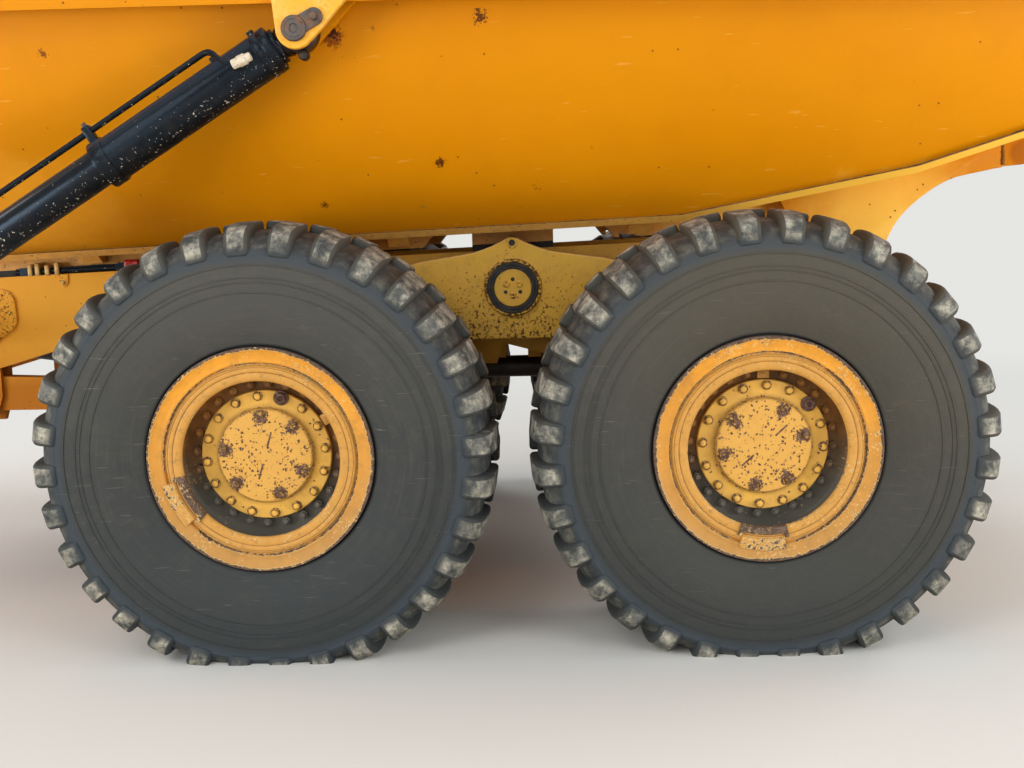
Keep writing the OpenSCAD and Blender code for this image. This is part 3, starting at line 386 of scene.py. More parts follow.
# Rims.
# Rolled steel rims in orange-yellow enamel: flange with a bare worn lip, lock ring in its groove,
# gutter ring round the opening, the lock ring's driver key, and the valve's bracket opposite.
# semi-gloss enamel that has chipped to brown rust along every ridge, with pale flakes round it
rim_enamel, shader, where = begin("wheel_enamel")
painted = put("SeparateXYZ", {0: put("Attribute", attribute_name="paint").outputs["Vector"]})
bare, ring, deep = painted.outputs                # chipped, gutter ring, dark inside the opening
low_down = put("MapRange", {0: put("SeparateXYZ", {0: where}).outputs[2], 1: -0.1, 2: -0.62})
ragged = put("TexNoise", {"Vector": where, "Scale": 85, "Detail": 5, "Roughness": 0.72})
patchy = put("MapRange", {0: put("TexNoise", {"Vector": where, "Scale": 8}), 1: 0.4, 2: 0.7, 3: -0.06,
    4: 0.11})
chance = put("Math", {0: bare, 1: put("Math", {0: ragged, 1: patchy}, operation="ADD")}, operation="ADD")
chipped = put("MapRange", {0: chance, 1: 1, 2: 1.02})
duller = weather("#B98C4E", where, ((0.06, 0.45, 0.7, 0.7, "#9C7644"),))
gutter = weather("#D49B4A", where, ((0.05, 0.42, 0.66, 0.7, "#C4924A"), (0.015, 0.55, 0.72, 0.6, "#8E6A3C")))
soot = over(weather("#A87436", where, ((0.1, 0.4, 0.66, 0.6, "#4C3A28"),)),
    ("#6C685E", low_down, 0.35, 0.75, 1))
oxide = weather("#5C4A3E", where, ((0.012, 0.45, 0.62, 1, "#7A6454"), (0.03, 0.55, 0.7, 0.8, "#3E3028")))
colour = weather("#EBA032", where, ((0.14, 0.42, 0.66, 0.8, "#C98A34"), (0.05, 0.52, 0.72, 0.6, "#A8773A")))
colour = over(colour, (duller, low_down, 0, 1, 0.8), (gutter, ring), (soot, deep),
    ("#EACB90", chance, 0.945, 0.955, 0.85), (oxide, chipped))
wire(shader, {"Base Color": colour, "Roughness": put("MapRange", {0: chipped, 3: 0.48, 4: 0.88}),
    "Specular IOR Level": 0.3, "Normal": rough(where, 140, 0.0006, under=put("Bump",
    {"Height": chipped, "Distance": -0.0008}))})

rim_outline = [(320, -248), (383, -254), (383, -268), (312, -268), (298, -238), (298, 95), (205.5, 95),
    (205.5, 121), (294, 121), (298, 126), (298, 160), (283, 205), (274.5, 232), (268.5, 238), (266.5, 245),
    (267, 252), (270, 257), (275, 259.6), (283, 260.8), (292, 260.6), (295.5, 259.2), (296.4, 257),
    (297.6, 257), (298.5, 259.4), (302, 261), (308, 261.2), (312, 260.4), (312.8, 258.4), (314, 258.4),
    (315, 260), (317.2, 260), (319, 257), (320.5, 251), (323.5, 248.5), (326.5, 248.5), (328.8, 254),
    (331, 260), (334.5, 261.8), (338.5, 260.6), (348, 261.6), (357, 263.4), (364, 265), (369, 266.4),
    (372.5, 269), (376.5, 270.6), (381.5, 269), (383, 264), (383, 254), (320, 248)]
rim = soften(lathe(rim_outline + rim_outline[:1], 192), angle=40)
nuts = around(lathe([(20, 120), (20, 126), (16.5, 126.2), (16.2, 142), (14, 144.5), (9.5, 144.5), (9.5, 150),
    (8, 152)], 6), [i * pi / 12 for i in range(24)], 0.246)


def rim_paint_at(co):
    """How far the enamel is gone, how far it is the ring's, and how dark it lies inside."""
    r, z = hypot(co.x, co.y), co.z
    if z < 0.156:
        return (0.25, 0, 1)
    if z < 0.237:
        return (0.2, 0.4, 1)
    by_key = abs(atan2(co.y, co.x)) < radians(19)
    lip = min(0.66, max(0, 0.36 + (r - 0.3705) / 0.007 * 0.3)) if r > 0.366 else 0
    groove = 0 if by_key else max(0, 1.25 - abs(r - 0.3275) / 0.0105) * 0.51
    mouth = max(0, 1 - abs(r - 0.2675) / 0.006) * 0.46
    lines = 0.55 if min(abs(r - 0.297), abs(r - 0.3134)) < 0.0008 else 0
    return (max(0.305, lip, min(groove, 0.6), mouth), 1 if r < 0.324 else 0, lines)


def arc_bar(angle, depth, low, high, steps=14):
    """A bar bent round Z over an angle, its middle on the X axis, between pairs of radii and heights."""
    middle = (sum(depth) / 2, 0, (low + high) / 2)
    bpy.ops.mesh.primitive_plane_add(size=1, rotation=(pi / 2, 0, 0), location=middle)
    edit()
    bpy.ops.transform.resize(value=(depth[1] - depth[0], 1, high - low), center_override=middle)
    bpy.ops.mesh.spin(steps=steps, angle=radians(angle), center=(0, 0, 0), axis=(0, 0, 1))
    made = finish()
    spread = sum((vertex.co for vertex in made.data.vertices), Vector())
    made.data.transform(Matrix.Rotation(-atan2(spread.y, spread.x), 4, "Z"))
    return made


key_bar = soften(arc_bar(33, (0.265, 0.29), 0.234, 0.27), 0.0035)
key_ends = around(soften(arc_bar(2.6, (0.285, 0.306), 0.25, 0.269, 3), 0.0025),
    [radians(-15.2), radians(15.2)])
key_pad = soften(arc_bar(27, (0.303, 0.345), 0.252, 0.267), 0.004)
bracket = soften(bar([(x, (-half, half), (0.16, 0.165)) for x, half in ((0.228, 0.02), (0.256, 0.02),
    (0.268, 0.012))]), 0.002)
grommet = soften(lathe([(3.5, 165.5), (3.5, 168), (6, 168.5), (8.5, 168), (8.5, 165)], 20))
grommet.data.transform(Matrix.Translation((0.247, 0, 0)))
valve = join([bracket, grommet])
valve.data.transform(Matrix.Rotation(radians(183), 4, "Z"))
parts = ((rim, rim_paint_at), (nuts, (0.15, 0, 1)), (key_bar, (0.64, 0.6, 0.1)), (key_ends, (0.6, 0.6, 0)),
    (key_pad, (0.435, 1, 0)), (valve, (0.36, 1, 0.3)))
for piece, paint in parts:
    mark(piece, "paint", paint)
rim = coat(join([piece for piece, _ in parts]), rim_enamel)
for wheel, (_, _, key, _) in wheels.items():
    mount(rim, wheel, "rim", "rim_paint", radians(key))
bpy.data.objects.remove(rim)


# Hubs.
# Cast planetary hubs in the same enamel, dull with dust: a flange with fifteen bolts and a drain
# plug, and a raised cover with six bolts in pairs and two slots.
# flat enamel on cast iron, which has popped off in small angular specks and in patches at the bolts, with
# painted shade in dark brown behind the flange and round the cover
hub_enamel, shader, where = begin("casting_enamel")
painted = put("SeparateXYZ", {0: put("Attribute", attribute_name="paint").outputs["Vector"]})
bare, specked, shade = painted.outputs            # patches of rust, share of specks, painted shade in dark brown
stir = put("VectorMath", {0: put("TexNoise", {"Vector": where, "Scale": 130}).outputs[1], 3: 0.016},
    operation="SCALE").outputs[0]
stirred = put("VectorMath", {0: where, 1: stir}, operation="ADD").outputs[0]
cells = put("TexVoronoi", {"Vector": stirred, "Scale": 104})
crowd = put("MapRange", {0: put("TexNoise", {"Vector": where, "Scale": 22}), 1: 0.35, 2: 0.65, 3: -0.12,
    4: 0.16})
picked = put("Math", {0: put("SeparateColor", {0: cells.outputs["Color"]}).outputs[0], 1: specked},
    operation="ADD")
crowded = put("Math", {0: crowd, 1: put("MapRange", {0: specked, 2: 0.1})}, operation="MULTIPLY")
picked = put("Math", {0: picked, 1: crowded}, operation="ADD")
specks = put("Math", {0: put("MapRange", {0: picked, 1: 0.99, 2: 1}),
    1: put("MapRange", {0: cells.outputs["Distance"], 1: 0.48, 2: 0.4})}, operation="MULTIPLY")
ragged = put("TexNoise", {"Vector": where, "Scale": 110, "Detail": 4, "Roughness": 0.7})
patch = put("MapRange", {0: put("Math", {0: bare, 1: ragged}, operation="ADD"), 1: 1, 2: 1.03})
chipped = put("Math", {0: specks, 1: patch}, operation="MAXIMUM")
colour = weather("#EFBA54", where, ((0.1, 0.4, 0.66, 0.8, "#DBAA58"), (0.04, 0.5, 0.75, 0.5, "#BA8C3C")))
oxide = weather("#553A2E", where, ((0.014, 0.45, 0.62, 1, "#7D6152"),))
colour = over(colour, ("#DCA551", specked, 0.05, 0.15, 0.7), ("#5E4628", shade), (oxide, chipped))
wire(shader, {"Base Color": colour, "Roughness": 0.64, "Specular IOR Level": 0.28,
    "Normal": rough(where, 90, 0.001, 3, put("Bump", {"Height": chipped, "Distance": -0.001}))})


def block(x, y, z, width=0, segments=2):
    """A softened block between pairs of distances along each axis."""
    return soften(bar([(end, y, z) for end in x]), width, segments)


bolt_angles = [radians(-a) for a in (28, 96, 144, 211, 263, 340)]
bolt_ring = 0.2055                                 # radius of the flange's bolts
hub = soften(lathe([(88.5, -88), (165, -88), (195, -40), (276, -20), (276, 94.5), (203.5, 94.5),
    (203.5, 134), (221.5, 134.5), (224, 137), (224, 161), (221, 164), (184, 164), (179, 165.2), (174, 165.6),
    (169, 166), (166, 167.2), (164, 172), (163, 181.5), (159, 186), (155.5, 186.6), (150, 187), (145, 187.4),
    (140, 187.8), (134, 188.1), (127, 188.3), (120, 188.5), (108, 188.8), (80, 189), (50, 189.2),
    (1, 189.3)], 180), angle=35)


def hub_paint_at(co):
    """Rust patches, specks and painted shade on the hub: rust thick round the cover's bolts, thin on the
    flange; shade behind the flange, round the cover's foot and on the bolts.
    """
    r, z, turn_at = hypot(co.x, co.y), co.z, atan2(co.y, co.x)
    if z < 0.13:
        return (0.3, 0, 0.9)
    if z < 0.16:
        return (0.34, 0.02, 0.5)
    if r > 0.17:
        return (0.3, 0.015, max(0, 0.25 - (r - 0.17) / 0.04))
    if r > 0.159:
        return (0.42, 0.1, 0.3)
    off = min(hypot((r - 0.147) * 0.62, r * abs((turn_at - a + pi) % (2 * pi) - pi)) for a in bolt_angles)
    return (0.36 + 0.27 * min(1, max(0, 1 - (off - 0.015) / 0.018)), 0.23 if r < 0.14 else 0.17, 0)


mark(hub, "paint", hub_paint_at)
washer = soften(lathe([(17.5, 163), (17.5, 166.2), (13, 168)], 24))
mark(washer, "paint", (0.5, 0, 0.45))
head = soften(lathe([(12, 167), (12, 175), (10.5, 178.5), (7, 180.5), (3, 181)], 8), 0.0008)
mark(head, "paint", lambda co: (0.52, 0, 0.15) if co.z < 0.176 else (0.36, 0, 0))
bolt = join([washer, head])
cover_bolts = around(copy(bolt, Matrix.Translation((0, 0, 0.02))), bolt_angles, 0.145)
mark(cover_bolts, "paint", (0.54, 0, 0.35))
bolts = around(bolt, [radians(22.5 * i) for i in range(1, 16)], bolt_ring)
collar = soften(lathe([(26.5, 163), (26.5, 168), (24.5, 170.5), (20.5, 171)], 32))
plug = lathe([(20.5, 169), (20.5, 180), (18, 183), (9.5, 183), (9, 175)], 6)
plug = join([collar, plug])
plug.data.transform(Matrix.Translation((bolt_ring, 0, 0)))
mark(plug, "paint", (0.66, 0, 0.65))
hub = join([hub, bolts, cover_bolts, plug])
for wheel, (_, _, _, turn) in wheels.items():
    slotted = [copy(hub)]
    for place in (0.059, -0.057) if "front" in wheel else (0.078, -0.074):
        slot = block((place - 0.027, place + 0.027), (-0.003, 0.003), (0.1885, 0.19), 0.0003)
        mark(slot, "paint", (0.72, 0, 0.4))
        slotted.append(slot)
    slotted = coat(join(slotted), hub_enamel)
    mount(slotted, wheel, "hub", "rim_paint", radians(turn))
    bpy.data.objects.remove(slotted)
bpy.data.objects.remove(hub)


# Body sides.
# Steel side plates of the tipping body, rolled in one wide sweep from the floor up to the knee, with
# a shelf and a flat panel over it, and a weld all along the floor.
def stone_chips(where, cells, channel, share, edge, core):
    """Round chips in a share of the cells: cells in a metre, the colour that picks them, their sizes."""
    chips = put("TexVoronoi", {"Vector": where, "Scale": cells})
    hit = put("MapRange", {0: put("SeparateColor", {0: chips.outputs["Color"]}).outputs[channel],
        1: 1 - share, 2: 1.01 - share})
    return put("Math", {0: put("MapRange", {0: chips.outputs["Distance"], 1: edge, 2: core}), 1: hit},
        operation="MULTIPLY")


def scraped(where):
    """Marks that the loads have drawn along the truck."""
    drawn = put("Mapping", {"Vector": where, "Scale": (2, 18, 18)})
    return put("TexNoise", {"Vector": drawn, "Scale": 1, "Detail": 8, "Roughness": 0.7})


# semi-gloss orange-yellow, a little mottled, with stone chips, rust clusters and a grease stain, and painted
# shade and light: darker towards the sweep's bottom, by the cylinder and on the tail rib, lighter on the
# hinge plates and low at the front
body_enamel, shader, where = begin("plate_enamel")
height = put("SeparateXYZ", {0: where}).outputs[2]
blotch = put("MapRange", {0: put("TexNoise", {"Vector": where, "Scale": 2.2, "Detail": 7}), 1: 0.35, 2: 0.7})
# painted shade: the sweep darker and browner towards its bottom, in blotches
painted_low_shade = put("Math", {0: put("MapRange", {0: height, 1: 0.75, 2: 0.38}), 1: blotch}, operation="MULTIPLY")
colour = weather("#E18F00", where, ((0.7, 0.4, 0.75, 0.7, "#D98600"), (0.2, 0.5, 0.8, 0.35, "#D08204")))
colour = over(colour, ("#B97A12", painted_low_shade, 0, 1, 0.25))
# stains, painted shade and painted light on the left side: x, y, z from the tandem's middle, reach, grain,
# peak, softness, strength, hex
for x, y, z, reach, grain, peak, soft, strength, top in (
        # painted shade under the hoist cylinder
        (-1.75, -0.95, 1.8, 0.75, 0.3, 1, 0.9, 0.25, "#B67810"),
        (-1.35, -0.76, 1.53, 0.45, 0.3, 1, 0.9, 0.2, "#A06408"),
        (-0.6, -1.11, 2.125, 0.13, 0.02, 0.74, 0.08, 0.85, "#8A430C"),
        (-0.59, -1.11, 2.14, 0.095, 0.01, 0.68, 0.05, 0.95, "#3A1C0C"),
        (-0.083, -1.115, 2.173, 0.085, 0.012, 0.66, 0.04, 0.95, "#5E2C10"),
        (-0.251, -0.905, 1.698, 0.065, 0.009, 0.68, 0.04, 0.95, "#4E260E"),
        (-0.7, -0.785, 1.559, 0.055, 0.008, 0.64, 0.04, 0.9, "#5E2C10"),
        (-1.6, -1.1, 2.093, 0.055, 0.009, 0.64, 0.04, 0.9, "#7A3A12"),
        # painted light on the hinge plates
        (1.45, -0.53, 1.5, 0.66, 0.3, 1.3, 0.6, 1, "#FFC650"),
        # painted light low on the front of the sweep
        (-1.95, -0.8, 1.5, 0.8, 0.3, 1.2, 0.8, 0.8, "#FFB43A"),
        # painted shade on the tail rib
        (2.03, -0.5, 1.7, 0.1, 0.3, 1.6, 0.3, 0.8, "#B06204"),
        (-0.45, -1.114, 2.147, 0.032, 0.02, 0.66, 0.1, 0.8, "#A66610"),
        (-0.332, -0.768, 1.542, 0.03, 0.02, 0.66, 0.1, 0.8, "#B98238"),
        (0.3, -0.93, 1.74, 0.06, 0.009, 0.52, 0.05, 0.75, "#8A4A10"),
        (0.1, -0.83, 1.61, 0.09, 0.012, 0.52, 0.05, 0.7, "#A0560E")):
    gone = put("VectorMath", {0: where, 1: tandem + Vector((x, y, z))}, operation="DISTANCE").outputs["Value"]
    near = put("MapRange", {0: gone, 1: reach, 2: 0, 4: peak})
    grit = put("TexNoise", {"Vector": where, "Scale": 1 / grain, "Detail": 4, "Roughness": 0.7})
    both = put("Math", {0: near, 1: grit}, operation="ADD")
    colour = over(colour, (top, both, 1, 1 + soft, strength))
slanted = put("Mapping", {"Vector": where, "Rotation": (0.5, 0.3, 0.6), "Scale": (9, 9, 75)})
scored = put("TexNoise", {"Vector": slanted, "Scale": 1})
chip = stone_chips(where, 24, 1, 0.14, 0.11, 0.065)
wavy = rough(where, 2.1, 0.006, under=put("Bump", {"Height": chip, "Distance": -0.0006}))
gloss = put("MapRange", {0: put("TexNoise", {"Vector": where, "Scale": 7, "Detail": 6}), 3: 0.38, 4: 0.56})
wire(shader, {"Base Color": over(colour, ("#F4B452", scored, 0.71, 0.74, 0.35), ("#7A4412", chip)),
    "Roughness": gloss, "Specular IOR Level": 0.14, "Normal": rough(where, 70, 0.0002, under=wavy)})

# bare steel inside, scoured bright along the truck by the loads, with paint left near the top
scoured, shader, where = begin("abraded_plate")
scrape = scraped(where)
high_up = put("MapRange", {0: put("SeparateXYZ", {0: where}).outputs[2], 1: 1.25, 2: 1.6})
left_on = put("Math", {0: high_up, 1: put("MapRange", {0: scrape, 1: 0.35, 2: 0.5})}, operation="MULTIPLY")
colour = weather(over("#6F655C", ("#9A938A", scrape, 0.35, 0.65, 1)), where,
    ((0.3, 0.45, 0.7, 0.8, "#7A5236"),))
wire(shader, {"Base Color": over(colour, ("#CF8A1C", left_on)), "Metallic": 0.35, "Roughness": 0.55,
    "Normal": put("Bump", {"Height": scrape, "Distance": 0.0008})})
# dark brown weld bead along the line where side and floor meet
weld_metal = plain("weld_bead", "#8A5A14", ((0.02, 0.4, 0.62, 1, "#4A2E14"),
    (0.2, 0.45, 0.7, 0.7, "#B27716")), 220, 0.001, {"Roughness": 0.7})


def arc(x, z, r, start, end, steps):
    """Points on a circle between two angles in degrees."""
    return [(x + r * cos(radians(start + (end - start) * i / steps)),
        z + r * sin(radians(start + (end - start) * i / steps))) for i in range(steps + 1)]


bend_y, bend_z, bend_r = -0.0901, 2.4348, 1.2383   # the sweep's middle and radius
tail_x, panel_y, floor_plate = 2.3, 1.255, 0.024
belly = [(-2.45, 1.35625), (0.65, 1.46475), (1.49, 1.62043), (tail_x, 1.87894)]
rim_line = [((-2.75, 2.78), (1.2, 2.78)), ((1.2, 2.78), (tail_x, 2.45))]


def belly_at(x):
    """Height of the floor's underside."""
    for (x0, z0), (x1, z1) in zip(belly, belly[1:]):
        if x <= x1:
            return z0 + (x - x0) / (x1 - x0) * (z1 - z0)


def cut(a, b, keep_above):
    """Cuts away what lies below (or above) the line between two (x, z) points."""
    bpy.ops.mesh.select_all(action="SELECT")
    bpy.ops.mesh.bisect(plane_co=tandem + Vector((a[0], 0, a[1])), plane_no=Vector(
        (a[1] - b[1], 0, b[0] - a[0])).normalized(), clear_inner=keep_above, clear_outer=not keep_above)


def side_sheet(outline, thickness):
    """Rolls a sheet along the truck from an outline of (y, z), and trims it to the body's shape."""
    bpy.ops.mesh.primitive_plane_add(size=1)
    sheet = bpy.context.object
    edit()
    bpy.ops.mesh.select_mode(type="VERT")
    bpy.ops.mesh.select_all(action="DESELECT")
    bpy.ops.object.mode_set(mode="OBJECT")
    for vertex in sheet.data.vertices:
        vertex.select = vertex.co.y > 0
        vertex.co = tandem + Vector((-2.8 if vertex.co.x < 0 else tail_x, *outline[vertex.select]))
    bpy.ops.object.mode_set(mode="EDIT")
    bpy.ops.mesh.select_mode(type="EDGE")
    for a, b in zip(outline[1:], outline[2:]):
        bpy.ops.mesh.extrude_region_move(TRANSFORM_OT_translate={"value": (0, b[0] - a[0], b[1] - a[1])})
    for a, b in zip(belly, belly[1:]):
        cut((a[0], a[1] + floor_plate), (b[0], b[1] + floor_plate), True)
    for a, b in rim_line:
        cut(a, b, False)
    cut((-2.75, 2.78), (-2.45, 1.38), True)
    bpy.ops.mesh.select_all(action="SELECT")
    bpy.ops.mesh.remove_doubles(threshold=0.00002)
    bpy.ops.mesh.normals_make_consistent(inside=False)
    bpy.ops.object.mode_set(mode="OBJECT")
    if sum(face.normal.y * face.area for face in sheet.data.polygons) < 0:
        sheet.data.flip_normals()
    skin = sheet.modifiers.new("skin", "SOLIDIFY")
    skin.thickness = thickness
    skin.offset = -1
    skin.use_even_offset = True
    skin.material_offset = 1
    coat(sheet, body_enamel).data.materials.append(scoured)
    bpy.ops.object.modifier_apply(modifier="skin")
    return soften(sheet, angle=28)


def tube(points, radius, lumps=0, sides=3):
    """Draws a round bar through points. Lumps swell and thin it like a weld laid by hand."""
    line = bpy.data.curves.new("line", "CURVE")
    line.dimensions = "3D"
    line.bevel_depth = radius
    line.bevel_resolution = sides
    line.use_fill_caps = True
    spline = line.splines.new("POLY")
    spline.points.add(len(points) - 1)
    for point, place in zip(spline.points, points):
        point.co = (*place, 1)
        point.radius = 1 + lumps * random.uniform(-1, 1)
    pick(add("line", line))
    bpy.ops.object.convert(target="MESH")
    return soften(finish(), angle=50)


random.seed(7)
sweep = arc(bend_y, bend_z, bend_r, -62, -13.3, 26)
lower = side_sheet(sweep + [(1.118, 2.175), (1.13, 2.256), (1.136, 2.262), (1.25, 2.262)], 0.016)
upper = side_sheet([(panel_y, z) for z in (2.2125, 2.5, 2.85)], 0.012)
bars = [soften(bar([(tandem.x + x, (1.252, 1.36), (tandem.z + z - 0.11, tandem.z + z)) for x, z in ends]),
    0.01, 3) for ends in rim_line]
tail_post = soften(bar([(tandem.x + x, (1.252, 1.335), (tandem.z + 2.262, tandem.z + z))
    for x, z in ((2.215, 2.44), (2.298, 2.42))]), 0.008)
seam_line = [(-2.44 + 0.02 * i, belly_at(-2.44 + 0.02 * i) + floor_plate) for i in range(237)]
seam = tube([tandem + Vector((x, bend_y + sqrt(bend_r ** 2 - (z - bend_z) ** 2) + 0.001, z + 0.002))
    for x, z in seam_line], 0.0045, 0.35)
for piece in (tail_post, *bars):
    coat(piece, body_enamel)
right_side = join([lower, upper, tail_post, coat(seam, weld_metal), *bars])
mirror = Matrix.Scale(-1, 4, Vector((0, 1, 0)))
for piece, hand in ((copy(right_side, mirror), "left"), (right_side, "right")):
    hand_over(piece, "body_side_" + hand + "_seen", "dump_body", "body_paint", "body_side_" + hand)


# Hinge plates.
# Thick curved plates under the chute that carry the body's hinge pins, flame-cut and welded to the
# floor, with a recessed rib welded behind each of them up to the tail.
def plate(outline, y0, y1, edge=0.003, segments=2):
    """Cuts a plate to an outline of (x, z) from the tandem's middle, between two distances across."""
    bpy.ops.mesh.primitive_circle_add(vertices=len(outline), fill_type="NGON")
    for vertex, (x, z) in zip(bpy.context.object.data.vertices, outline):
        vertex.co = tandem + Vector((x, y0, z))
    edit()
    bpy.ops.mesh.extrude_region_move(TRANSFORM_OT_translate={"value": (0, y1 - y0, 0)})
    return soften(finish(), edge, segments)


def turned(outline, steps, x, z, y):
    """Turns a piece that lies across the truck at (x, z), from y to the right."""
    piece = lathe(outline, steps)
    piece.data.transform(Matrix.Translation(tandem + Vector((x, y, z))) @ Matrix.Rotation(-pi / 2, 4, "X"))
    return piece


hinge_x, hinge_z = 1.32, 1.22
hanger = plate([(x, belly_at(x)) for x in (1.06, 1.49, 1.93)] + [(1.935, 1.645), (1.895, 1.639),
    (1.854, 1.631), (1.805, 1.622), (1.757, 1.612), (1.726, 1.601), (1.698, 1.588), (1.668, 1.571),
    (1.64, 1.552), (1.61, 1.53), (1.582, 1.506), (1.556, 1.481), (1.532, 1.453), (1.512, 1.423),
    (1.495, 1.39), (1.48, 1.355), (1.467, 1.318), (1.456, 1.28), (1.443, 1.246)]
    + arc(hinge_x, hinge_z, 0.105, -5, -170, 14) + [(1.2, 1.28)], 0.515, 0.545, 0.004)
tail_rib = plate([(1.929, belly_at(1.929)), (2.24, belly_at(2.24)), (2.24, 1.7), (2.024, 1.655),
    (1.929, 1.648)], 0.455, 0.516, 0.004)
hinge_pin = turned([(45, 0), (45, 150), (58, 150), (60, 152), (60, 192), (56, 196), (20, 196), (18, 190)],
    48, hinge_x, hinge_z, 0.36)
bead = tube([tandem + Vector((1.932 + 0.002 * i / 12, 0.546, 1.756 - 0.0085 * i)) for i in range(13)], 0.006,
    0.5)
top_bead = tube([tandem + Vector((1.185 + 0.0155 * i, 0.547, belly_at(1.185 + 0.0155 * i) - 0.003))
    for i in range(48)], 0.003, 0.4)
for piece in (hanger, tail_rib, hinge_pin, top_bead):
    coat(piece, body_enamel)
hangers = join([hanger, tail_rib, hinge_pin, coat(bead, weld_metal), top_bead])
hangers = join([hangers, copy(hangers, mirror)])
hand_over(hangers, "hinge_plates_seen", "dump_body", "body_paint", "hinge_plates")


# Hoist ears.
# Flame-cut plates that hang from the body's shelf and panel, two for each cylinder, with the pin
# through them: a turned head with a threaded hole, held by a bolted keeper, and a grease nipple.
# dark forged steel under old grease, browner where it has rusted
pin_steel = plain("greasy_forging", "#55514E", ((0.03, 0.44, 0.64, 1, "#7E5C44"),
    (0.015, 0.5, 0.7, 0.8, "#38322E"), (0.008, 0.6, 0.75, 0.7, "#A08468")), 160, 0.0008,
    {"Metallic": 0.45, "Roughness": 0.52}, 4)
# near black oily steel of nipples, eyes and shafts
oily_steel = plain("oily_steel", "#1B1613", ((0.05, 0.42, 0.66, 0.8, "#3A2A1E"),
    (0.015, 0.55, 0.72, 0.6, "#0F0C0B")), 90, 0.0006, {"Metallic": 0.3, "Roughness": 0.45})
# lighter, dustier enamel than the body's: dust, and painted light where the plates face the sky
lit_dusty_ear_enamel = plain("dusty_lit_plate_enamel", "#FFB83C", ((0.05, 0.42, 0.66, 0.8, "#FFCC6C"),
    (0.02, 0.56, 0.74, 0.7, "#B57A22"), (0.008, 0.66, 0.72, 0.9, "#6E4220")), 90, 0.0004,
    {"Roughness": 0.5, "Specular IOR Level": 0.25})

pin_x, pin_z, ear_face, keeper_plate = -0.688, 2.124, 1.285, 0.012
boss_round = arc(pin_x, pin_z, 0.064, 180, 315, 18)
outer_ear = plate(boss_round + [(pin_x + x, pin_z + z) for x, z in ((0.088, -0.004), (0.13, 0.043),
    (0.17, 0.086), (0.45, 0.378), (-0.098, 0.378))], 1.2555, ear_face, 0.006, 3)
inner_ear = plate(boss_round + [(pin_x + 0.22, pin_z + 0.1375), (pin_x - 0.076, pin_z + 0.1375)], 1.14, 1.17,
    0.004)
pin_head = turned([(34, 0), (34, 115), (40.5, 116), (42, 118), (42, 128), (39.5, 132), (30, 132.5),
    (28.5, 131), (15.5, 131), (14, 129.5), (13.5, 121), (8, 120.5), (7.8, 123.5)], 48, pin_x, pin_z, 1.17)
bolt_x, bolt_z = pin_x + 0.068, pin_z + 0.036
keeper = plate(arc(pin_x, pin_z, 0.03, 118, 298, 12) + arc(bolt_x, bolt_z, 0.029, -62, 118, 14), ear_face,
    ear_face + keeper_plate, 0.002)
keeper_bolt = turned([(16.5, 0), (16.5, 4), (14, 4.5), (14, 12), (12, 14.5), (4, 14.5)], 6, bolt_x, bolt_z,
    ear_face + keeper_plate)
nipple = turned([(10, 0), (10, 20), (17.5, 24), (18, 50), (14, 56), (6, 58)], 16, pin_x + 0.02,
    pin_z - 0.079, 1.195)
for piece in (pin_head, keeper, keeper_bolt):
    coat(piece, pin_steel)
ears = join([coat(outer_ear, lit_dusty_ear_enamel), coat(inner_ear, body_enamel), pin_head, keeper, keeper_bolt,
    coat(nipple, oily_steel)])
hand_over(join([ears, copy(ears, mirror)]), "hoist_ears_seen", "dump_body", "body_paint", "hoist_ears")


# Hoist cylinders.
# Two-stage telescopic cylinders: a welded steel barrel, thicker above its collar, with a ringed
# gland, an oil pipe held by a clamp and a capped port; a middle stage; and a rod with a forged eye.
# gloss black enamel with a painted blue reflection of the sky on its upper side, white stone chips
# underneath, and brown there, partly dust and partly painted light from the ground
black_enamel, shader, where = begin("gloss_black_enamel")
facing = put("SeparateXYZ", {0: put("NewGeometry").outputs["Normal"]}).outputs[2]
under = put("MapRange", {0: facing, 1: 0.25, 2: -0.55})
grit = put("TexNoise", {"Vector": where, "Scale": 30, "Detail": 6})
dust = put("Math", {0: under, 1: put("MapRange", {0: grit, 1: 0.42, 2: 0.75, 4: 0.3})}, operation="MULTIPLY")
nicks = put("TexNoise", {"Vector": where, "Scale": 95, "Detail": 3, "Roughness": 0.65})
nicks = put("Math", {0: nicks, 1: put("MapRange", {0: under, 4: 0.055})}, operation="ADD")
nick = put("MapRange", {0: nicks, 1: 0.7, 2: 0.712})
colour = weather("#0B0B0C", where, ((0.08, 0.4, 0.75, 0.8, "#171513"), (0.02, 0.55, 0.75, 0.5, "#2A241E")))
# painted reflection: blue on upward faces; underneath: dust and painted ground light, with white chips
colour = over(colour, ("#2E3F4E", facing, 0.42, 0.72, 0.85), ("#3A2C20", dust), ("#CFC9BC", nick))
# the reflections are tinted blue to paint in the sky's colour
wire(shader, {"Base Color": colour, "Roughness": put("MapRange", {0: under, 3: 0.2, 4: 0.45}),
    "Specular IOR Level": 0.32, "Specular Tint": "#A8C6E4", "Normal": rough(where, 24, 0.0006,
    under=put("Bump", {"Height": nick, "Distance": -0.0005}))})
# bright plating with faint drawn lines
hard_chrome = plain("hard_chrome", "#CBCBCA", ((0.05, 0.45, 0.7, 0.8, "#AFAEAA"),), 260, 0.00006,
    {"Metallic": 1, "Roughness": 0.16})
# cream plastic cap, smudged by hands
cap_plastic = plain("moulded_cap", "#E6DCC6", ((0.02, 0.45, 0.65, 0.9, "#C9AE84"),
    (0.008, 0.58, 0.7, 0.8, "#8A6A42")), 200, 0.0004, {"Roughness": 0.5})

